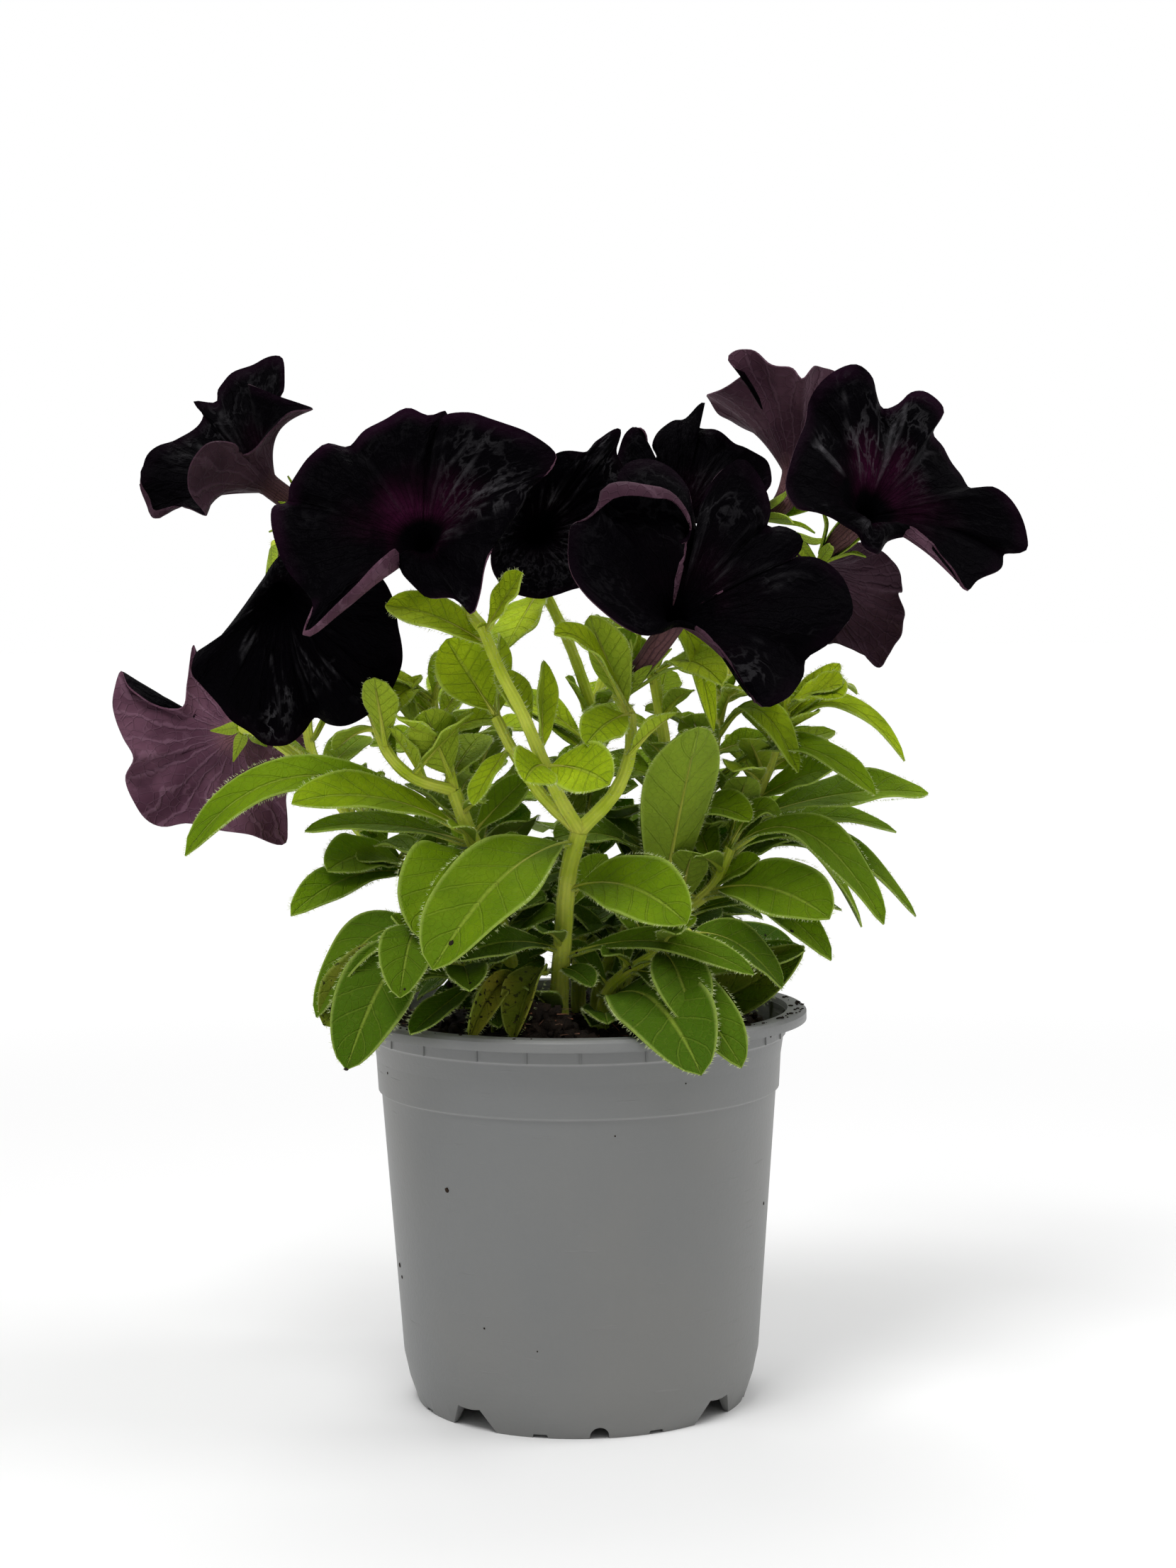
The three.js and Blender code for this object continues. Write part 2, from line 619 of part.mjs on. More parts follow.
function potProfile() {
  return [
    [0, 5.6], [FOOT_RADIUS - 1.8, 5.6], [FOOT_RADIUS - 1.5, 0], [FOOT_RADIUS, 0],
    [BODY_BOTTOM_RADIUS, FOOT_HEIGHT], [BODY_BOTTOM_RADIUS + 1.5, FOOT_HEIGHT + 7],
    [BODY_TOP_RADIUS, COLLAR_BOTTOM], [BODY_TOP_RADIUS + 0.9, COLLAR_BOTTOM + 0.4],
    [COLLAR_TOP_RADIUS, COLLAR_TOP], [COLLAR_TOP_RADIUS + 1.2, COLLAR_TOP + 0.6],
    [COLLAR_TOP_RADIUS + 1.2, RIM_TOP - 1.5], [RIM_RADIUS - LIP_WALL, RIM_TOP - 1.5],
    [RIM_RADIUS - LIP_WALL, RIM_TOP - LIP_HEIGHT], [RIM_RADIUS, RIM_TOP - LIP_HEIGHT],
    [RIM_RADIUS, RIM_TOP - 0.8], [RIM_RADIUS - 0.9, RIM_TOP], [COLLAR_TOP_RADIUS + 1.7, RIM_TOP],
    [BODY_TOP_RADIUS - WALL + 1.3, COLLAR_BOTTOM + 1],
    [BODY_TOP_RADIUS - WALL, COLLAR_BOTTOM - 0.4],
    [BODY_BOTTOM_RADIUS - WALL + 0.1, FOOT_HEIGHT + 0.1], [0, FOOT_HEIGHT + 0.1],
  ].map(([r, z]) => new THREE.Vector2(r, z));
}

function lathe(profile, sides) {
  const geometry = new THREE.LatheGeometry(profile, sides);
  geometry.rotateX(Math.PI / 2);
  return geometry;
}

// A plain plate standing across the wall at an angle round the pot, with its outline in (across, z)
function radialCutter(outline, degrees, from, to) {
  const shape = new THREE.Shape(outline.map(([x, y]) => new THREE.Vector2(x, y)));
  const geometry = new THREE.ExtrudeGeometry(shape, { depth: to - from, bevelEnabled: false });
  geometry.rotateX(Math.PI / 2);
  geometry.translate(0, -from, 0);
  geometry.rotateZ(degrees * DEG);
  return toSolid(geometry);
}

function makePot() {
  let pot = toSolid(lathe(potProfile(), POT_SIDES));
  const arch = [[-2.6, -1]];
  for (let i = 0; i <= 6; i += 1) {
    arch.push([-2.6 * Math.cos((i * Math.PI) / 6), 0.7 + 2.6 * Math.sin((i * Math.PI) / 6)]);
  }
  arch.push([2.6, -1]);
  const nick = [[-2.6, -1], [-1.9, 1], [1.9, 1], [2.6, -1]];
  const gap = [
    [-FOOT_GAP_BOTTOM / 2 - 1, -1], [-FOOT_GAP_TOP / 2, FOOT_HEIGHT - 0.1],
    [FOOT_GAP_TOP / 2, FOOT_HEIGHT - 0.1], [FOOT_GAP_BOTTOM / 2 + 1, -1],
  ];
  for (let foot = 0; foot < 4; foot += 1) {
    const turn = FOOT_TURN + foot * 90;
    pot = pot.subtract(radialCutter(arch, turn, 40, 55));
    pot = pot.subtract(radialCutter(nick, turn - 19.7, 40, 55));
    pot = pot.subtract(radialCutter(nick, turn + 19.7, 40, 55));
    pot = pot.subtract(radialCutter(gap, turn + 45, 40, 48.9));
  }
  for (let i = 0; i < DRAIN_HOLES; i += 1) {
    const hole = new THREE.CylinderGeometry(DRAIN_RADIUS, DRAIN_RADIUS, 8, 8);
    hole.rotateX(Math.PI / 2);
    const angle = ((i + 0.5) / DRAIN_HOLES) * 2 * Math.PI;
    hole.translate(DRAIN_CIRCLE * Math.cos(angle), DRAIN_CIRCLE * Math.sin(angle), 6);
    pot = pot.subtract(toSolid(hole));
  }
  return join([pot]);
}

// Soil: fills the pot, lumpy on top
function makeSoil() {
  const RINGS = [[56.9, SOIL_TOP - 3.2], [48, SOIL_TOP - 0.5], [34, SOIL_TOP], [18, SOIL_TOP]];
  const profile = [[0, 7.5], [47.8, 7.5], [54.6, 88], ...RINGS, [0, SOIL_TOP]]
    .map(([r, z]) => new THREE.Vector2(r, z));
  const geometry = lathe(profile, 24);
  const position = geometry.attributes.position;
  for (let i = 0; i < position.count; i += 1) {
    const x = position.getX(i);
    const y = position.getY(i);
    if (position.getZ(i) > SOIL_TOP - 2 && Math.hypot(x, y) > 1) {
      const lump = 1.6 * Math.sin(x * 0.21 + 1.3) * Math.cos(y * 0.17) + 0.9 * Math.sin(x * 0.47 - y * 0.39);
      position.setZ(i, position.getZ(i) + lump);
    }
  }
  return toSolid(geometry);
}

// Plant

const nodes = new Map();
const boxOf = (solid) => solid.boundingBox();
const boxesMeet = (a, b) => [0, 1, 2].every((i) => a.min[i] <= b.max[i] && b.min[i] <= a.max[i]);

function meets(solid, pieces) {
  const box = boxOf(solid);
  return pieces.some((piece) => boxesMeet(box, piece.box) && solid.intersect(piece.solid).volume() > 1e-6);
}

const pot = makePot();
const soil = makeSoil();
const pieces = [{ name: 'pot', solid: pot }, { name: 'soil', solid: soil }];

for (const [name, bloom] of Object.entries(BLOOMS)) {
  const solid = corollaSolid(bloom);
  nodes.set(name, { solids: [solid], color: PETAL_BLACK });
  pieces.push({ name, solid });
}

let soilWithHoles = soil;
for (const [name, shoot] of Object.entries(SHOOTS)) {
  const solids = [];
  for (const stem of shoot.stems) {
    solids.push(stemSolid(stemCurve(stem), ...stem.radius));
    pieces.push({ name, solid: solids.at(-1), root: true });
  }
  const hole = stemSolid(stemCurve(shoot.stems[0]), ...shoot.stems[0].radius, GAP);
  soilWithHoles = soilWithHoles.subtract(hole);
  for (const stalk of shoot.blooms || []) {
    solids.push(stemSolid(pedicelCurve(shoot, stalk), STALK_RADIUS, STALK_RADIUS - 0.1, 0, STALK_SIDES));
    solids.push(calyxSolid(BLOOMS[stalk[0]]));
  }
  solids.slice(shoot.stems.length).forEach((solid) => pieces.push({ name, solid }));
  nodes.set(name, { solids, color: LEAF_GREEN });
}
pieces.forEach((piece) => { piece.box = boxOf(piece.solid); });

// Stems, calyces and blooms are placed by hand, so a clash among them is an error of the lists above
for (const piece of pieces) {
  const others = pieces.filter((other) => other.name !== piece.name && !(piece.root && other.name === 'soil')
    && !(other.root && piece.name === 'soil'));
  for (const other of others) {
    if (boxesMeet(piece.box, other.box) && piece.solid.intersect(other.solid).volume() > 1e-3) {
      throw new Error(`${piece.name} and ${other.name} meet`);
    }
  }
}

for (const [name, shoot] of Object.entries(SHOOTS)) {
  const node = nodes.get(name);
  leavesOf(shoot).forEach((leaf, number) => {
    const others = pieces.filter((piece) => piece.name !== name);
    const turn = TURNS.find((candidate) => !meets(leafSolid(turnedLeaf(leaf, candidate), GAP), others));
    if (!turn) throw new Error(`no room for leaf ${number} of ${name}`);
    const solid = leafSolid(turnedLeaf(leaf, turn));
    node.solids.push(solid);
    pieces.push({ name, solid, box: boxOf(solid) });
  });
}

const group = new THREE.Group();
group.add(toMesh('pot', pot, POT_GREY, 0.55));
group.add(toMesh('soil', join([soilWithHoles]), SOIL_BROWN, 1));
for (const [name, node] of nodes) {
  group.add(toMesh(name, join(node.solids), node.color, 0.7));
}

export default group;
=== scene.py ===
# Potted black petunia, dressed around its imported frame: velvety dark blooms on leafy, finely haired
# shoots, in crumbly soil in a grey nursery pot. Tables and forms are in millimetres; meshes, settings,
# patterns and the stage are in metres.

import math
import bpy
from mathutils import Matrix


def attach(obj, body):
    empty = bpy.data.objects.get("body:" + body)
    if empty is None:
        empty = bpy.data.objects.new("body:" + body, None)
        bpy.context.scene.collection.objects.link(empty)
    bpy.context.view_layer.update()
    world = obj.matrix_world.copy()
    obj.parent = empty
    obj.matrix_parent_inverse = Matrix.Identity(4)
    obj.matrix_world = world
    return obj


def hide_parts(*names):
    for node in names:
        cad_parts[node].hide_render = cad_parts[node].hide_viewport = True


bl_info = {
    "name": "Potted petunia",
    "version": (1, 0, 0),
    "blender": (4, 5, 0),
    "location": "View3D > Sidebar > Petunia",
    "description": "Builds a potted black petunia around its packed frame",
    "category": "Add Mesh",
}

import bpy
import numpy as np
from bpy.props import FloatProperty, FloatVectorProperty, IntProperty, PointerProperty
from bpy.types import Operator, Panel, PropertyGroup
from mathutils import Vector
from mathutils.bvhtree import BVHTree

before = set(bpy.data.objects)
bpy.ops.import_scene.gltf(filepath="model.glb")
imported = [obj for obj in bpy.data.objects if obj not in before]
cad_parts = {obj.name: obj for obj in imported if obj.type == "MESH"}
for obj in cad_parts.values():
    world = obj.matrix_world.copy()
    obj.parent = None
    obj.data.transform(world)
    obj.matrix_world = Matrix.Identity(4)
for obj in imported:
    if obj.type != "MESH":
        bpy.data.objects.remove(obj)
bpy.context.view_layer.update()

MM = 0.001
TURN = 2 * math.pi
UP = np.array([0.0, 0.0, 1.0])
RIGHT = np.array([1.0, 0.0, 0.0])
GOLDEN_ANGLE = 137.5
PETALS = 5

# A bloom is one sheet, bent round: its tube takes the first share of the way along it, its limb the rest
TUBE_SHARE = 0.3
TUBE_STRAIGHT = 12
TUBE_FLUTES = 0.05
THROAT_RADIUS = 3
THROAT_DEPTH = 9
# Radius along the tube, as a share of the throat's
TUBE_RADIUS = ((0, 0.62), (0.12, 0.72), (0.45, 0.95), (1, 1))

# How a limb lifts from its throat to its edge: the powers of its rise and of its flare, how far it domes
# between them, and how deep it sinks behind a notch of its edge
LIMB_RISE = 1.8
LIMB_FLARE = 2.6
LIMB_DOME = 1.4
NOTCH_DEPTH = 3.2

# How a limb follows its edge: over which share of the edge the directions of its columns are evened, how
# much of its own direction each keeps, over which share the reach is evened to find the notches, how
# strongly they count, and over which share they are evened
STRAY_SPAN = 0.12
STRAY_KEPT = 0.75
REACH_SPAN = 0.16
NOTCH_STRENGTH = 2.2
NOTCH_SPAN = 0.03

# Waves of a limb as (number round it, height, drift on the way out), its creases as (half their number,
# height) and how sharp their crests are
RUFFLES = ((4, 1, 0), (7, 0.8, 0), (12, 0.6, 2), (19, 0.4, 0))
CREASES = ((5, 0.8), (9, 0.7), (7, 0.5))
CREST_POWER = 6

# An edge that rolls takes this share of its petal and turns by this many degrees
ROLL_SHARE = 0.26
ROLL_TURN = 200

# A look of the petals that is strongest on one side: what is left of it on the other, and how it falls off
LOOK_LEAST = 0.15
LOOK_POWER = 1.5

# Blooms: where the tube leaves the calyx, where the throat opens, which way the mouth faces, how strong the
# glow round the throat and the grey lines of painted highlight on the folds are and towards which side (in
# degrees, from the right by the top), how high its creases stand, how pale its back is, and the edge of the
# petals, clockwise as seen from in front. A fourth number there is the radius that the edge rolls with: plus
# rolls it forward, minus back
BLOOMS = {
    "bloom_top_left": {
        "calyx": (-70, 6, 250), "throat": (-93, -1, 266), "facing": (-0.72, -0.3, 0.62),
        "glow": (0.4, 90), "lines": (0.6, 200), "crumple": 0.4, "pallor": 0.34,
        "edge": (
            (-92, -12, 268), (-94, -20, 271), (-99, -25, 269), (-103, -27, 264), (-105, -25, 258),
            (-101, -19, 251), (-107, -12, 253), (-112, -8, 254), (-119, -6, 252, 1.2), (-120, -4, 255, 1.5),
            (-121, -3, 261), (-120, 0, 267), (-117, 3, 271), (-113, 7, 273), (-110, 11, 277),
            (-106, 14, 281), (-109, 15, 285), (-103, 16, 285), (-103, 18, 289), (-100, 20, 292),
            (-95, 22, 295), (-88, 22, 297), (-83, 19, 297), (-85, 13, 287), (-92, 3, 289), (-81, 0, 284),
            (-73, -4, 281), (-79, -9, 278), (-85, -12, 273),
        ),
    },
    "bloom_front_left": {
        "calyx": (-30, -36, 229), "throat": (-42, -61, 245), "facing": (-0.3, -0.85, 0.42),
        "glow": (1.1, 125), "lines": (1, 345), "crumple": 0.5, "pallor": 0.75,
        "edge": (
            (-38, -53, 275), (-33, -47, 276), (-35, -47, 270), (-32, -54, 274), (-27, -57, 275),
            (-21, -61, 273), (-11, -66, 269), (-4, -69, 263), (-6, -68, 258), (-11, -69, 255, -1.5),
            (-13, -71, 251, -1.8), (-17, -73, 244, -1.2), (-20, -75, 238), (-22, -78, 233), (-25, -83, 222),
            (-28, -79, 225), (-31, -77, 227), (-37, -74, 227), (-40, -70, 229), (-43, -66, 232),
            (-45, -62, 235), (-46, -65, 235, 2.8), (-56, -68, 227, 2.2), (-69, -69, 217, 0.7),
            (-67, -66, 225), (-75, -58, 235), (-78, -54, 242), (-79, -49, 251), (-75, -45, 252),
            (-74, -48, 257), (-71, -47, 263), (-68, -47, 266), (-65, -47, 268), (-59, -44, 267),
            (-54, -48, 272), (-48, -49, 275), (-43, -50, 277),
        ),
    },
    "bloom_low_left": {
        "calyx": (-82, -12, 240), "throat": (-80, -40, 227), "facing": (-0.05, -0.95, -0.25),
        "glow": (0.05, 90), "lines": (2.4, 240), "crumple": 0.9, "pallor": 0.5,
        "edge": (
            (-78, -39, 239), (-70, -39, 241), (-58, -40, 238), (-50, -42, 231), (-47, -41, 220),
            (-46, -40, 211), (-48, -37, 205), (-51, -37, 200), (-56, -35, 196), (-62, -34, 193),
            (-67, -33, 193), (-71, -29, 195), (-74, -32, 191), (-78, -32, 188), (-84, -30, 188),
            (-88, -33, 191), (-93, -33, 195), (-97, -35, 200), (-101, -35, 204), (-103, -37, 207),
            (-103, -36, 210), (-102, -34, 213), (-98, -33, 215), (-94, -34, 219), (-90, -34, 224),
            (-84, -35, 232),
        ),
    },
    "bloom_far_left": {
        "calyx": (-92, -14, 192), "throat": (-100, 14, 188), "facing": (-0.3, 0.9, -0.15),
        "glow": (0.4, 90), "lines": (0.6, 90), "crumple": 0.6, "pallor": 1,
        "edge": (
            (-112, 14, 205), (-113, 8, 197), (-121, 9, 198), (-128, 9, 203), (-131, 14, 208),
            (-132, 10, 204), (-133, 9, 198), (-130, 7, 189), (-126, 2, 183), (-129, 6, 177), (-126, 5, 169),
            (-123, 6, 165), (-119, 8, 163), (-112, 8, 164), (-104, 9, 162), (-95, 13, 160), (-85, 18, 157),
            (-84, 17, 172), (-79, 23, 182), (-81, 25, 194), (-89, 24, 204), (-99, 20, 211), (-109, 15, 211),
            (-111, 18, 215),
        ),
    },
    "bloom_middle": {
        "calyx": (-13, 6, 240), "throat": (-9, -24, 246), "facing": (0.1, -0.9, 0.1),
        "glow": (0.1, 90), "lines": (2.4, 75), "crumple": 1.8, "pallor": 0.5,
        "edge": (
            (-14, -23, 261), (-8, -25, 264), (-3, -25, 267), (4, -22, 267), (7, -23, 270), (13, -24, 273),
            (12, -21, 266), (14, -19, 262), (14, -21, 255), (13, -24, 247), (11, -24, 237), (5, -24, 231),
            (-1, -28, 229), (-9, -30, 227), (-18, -31, 229), (-22, -31, 235), (-22, -29, 242),
            (-19, -26, 246), (-17, -24, 252), (-18, -25, 257),
        ),
    },
    "bloom_front_right": {
        "calyx": (14, -33, 203), "throat": (29, -58, 225), "facing": (0.2, -0.85, 0.42),
        "glow": (0.2, 20), "lines": (0.9, 350), "crumple": 0.4, "pallor": 0.5,
        "edge": (
            (-1, -63, 236), (-1, -61, 241), (0, -58, 246), (4, -56, 248, 0.3), (7, -55, 251, 0.8),
            (8, -53, 255, 3.6), (12, -52, 256, 4.6), (19, -52, 255, 4), (24, -52, 254, 3.1),
            (28, -51, 251, 2.4), (31, -49, 246, 1.9), (29, -52, 241, 1.1), (21, -43, 248), (12, -40, 256),
            (14, -37, 262), (20, -35, 264), (27, -35, 262), (31, -38, 257), (32, -43, 249), (33, -43, 244),
            (34, -46, 251), (37, -45, 257), (41, -42, 261), (45, -40, 263), (49, -39, 260), (52, -41, 255),
            (53, -41, 250), (52, -40, 245), (56, -43, 245), (61, -46, 242), (60, -47, 238), (57, -49, 236),
            (53, -44, 236), (60, -47, 237), (66, -48, 236), (71, -49, 232), (73, -51, 226), (73, -53, 221),
            (70, -55, 217), (66, -56, 213), (61, -55, 210), (60, -61, 206), (58, -64, 203), (55, -68, 200),
            (49, -71, 198), (45, -68, 202, 1), (41, -65, 208, 1.2), (36, -61, 215), (31, -57, 218),
            (27, -57, 219), (22, -64, 217), (18, -66, 216), (13, -68, 218), (8, -68, 222), (3, -66, 227),
            (0, -65, 232),
        ),
    },
    "bloom_back_middle": {
        "calyx": (26, 31, 232), "throat": (31, 6, 254), "facing": (0.1, -0.75, 0.6),
        "glow": (0.2, 90), "lines": (0.5, 60), "crumple": 0.6, "pallor": 0.5,
        "edge": (
            (13, 16, 269), (15, 16, 274), (18, 16, 276), (20, 16, 275, 1), (21, 17, 269, 1), (24, 19, 267),
            (23, 15, 272), (25, 18, 276), (29, 20, 279), (33, 23, 280), (38, 23, 283), (36, 25, 277),
            (41, 21, 276), (46, 20, 273), (50, 17, 270), (56, 17, 267), (57, 15, 260), (51, 7, 253),
            (43, 1, 249), (33, 1, 248), (25, -2, 249), (16, 1, 254), (11, 8, 261),
        ),
    },
    "bloom_top_right": {
        "calyx": (57, 24, 252), "throat": (66, 28, 272), "facing": (0.2, 0.35, 0.9),
        "glow": (0.7, 90), "lines": (0.6, 90), "crumple": 0.5, "pallor": 0.62,
        "edge": (
            (59, 50, 283), (65, 62, 289), (74, 64, 289), (83, 58, 284), (88, 45, 284), (86, 30, 288),
            (77, 18, 292), (70, 10, 293), (68, 6, 292), (65, 4, 289), (62, 5, 292), (56, 6, 294),
            (51, 8, 297), (44, 6, 294), (49, 10, 291), (43, 16, 288), (39, 25, 286), (43, 32, 282),
            (49, 36, 278), (58, 38, 274),
        ),
    },
    "bloom_right": {
        "calyx": (73, 11, 240), "throat": (86, -15, 253), "facing": (0.4, -0.75, 0.35),
        "glow": (1, 80), "lines": (1.5, 140), "crumple": 0.6, "pallor": 0.5,
        "edge": (
            (88, 1, 280), (92, -2, 281), (95, -1, 284), (100, 2, 285), (104, 3, 282), (105, 1, 279),
            (102, 4, 273), (106, 7, 269), (110, 6, 262), (112, 5, 257), (118, 0, 257), (123, 1, 254),
            (126, 0, 250), (128, 0, 244), (128, -4, 240), (122, -3, 239), (119, -10, 234), (112, -16, 231),
            (108, -21, 228), (103, -17, 235, 1), (98, -14, 242), (92, -13, 243), (87, -15, 242),
            (84, -24, 239), (80, -25, 240), (78, -21, 244), (72, -25, 247), (66, -30, 249), (60, -34, 250),
            (58, -33, 255), (59, -28, 263), (62, -22, 270), (65, -16, 276), (66, -10, 281), (69, -11, 286),
            (74, -8, 290), (79, -6, 291), (83, -4, 288), (85, -2, 283),
        ),
    },
    "bloom_low_right": {
        "calyx": (63, 9, 243), "throat": (72, 32, 231), "facing": (0.35, 0.8, -0.48),
        "glow": (0.4, 90), "lines": (0.6, 90), "crumple": 0.5, "pallor": 0.27,
        "edge": (
            (78, 36, 241), (74, 35, 233), (70, 28, 222), (73, 24, 214), (78, 20, 213), (83, 18, 211),
            (88, 17, 207), (92, 16, 213), (95, 17, 217), (96, 19, 222), (94, 20, 228), (96, 26, 230),
            (95, 29, 236), (90, 34, 241), (83, 37, 244),
        ),
    },
}

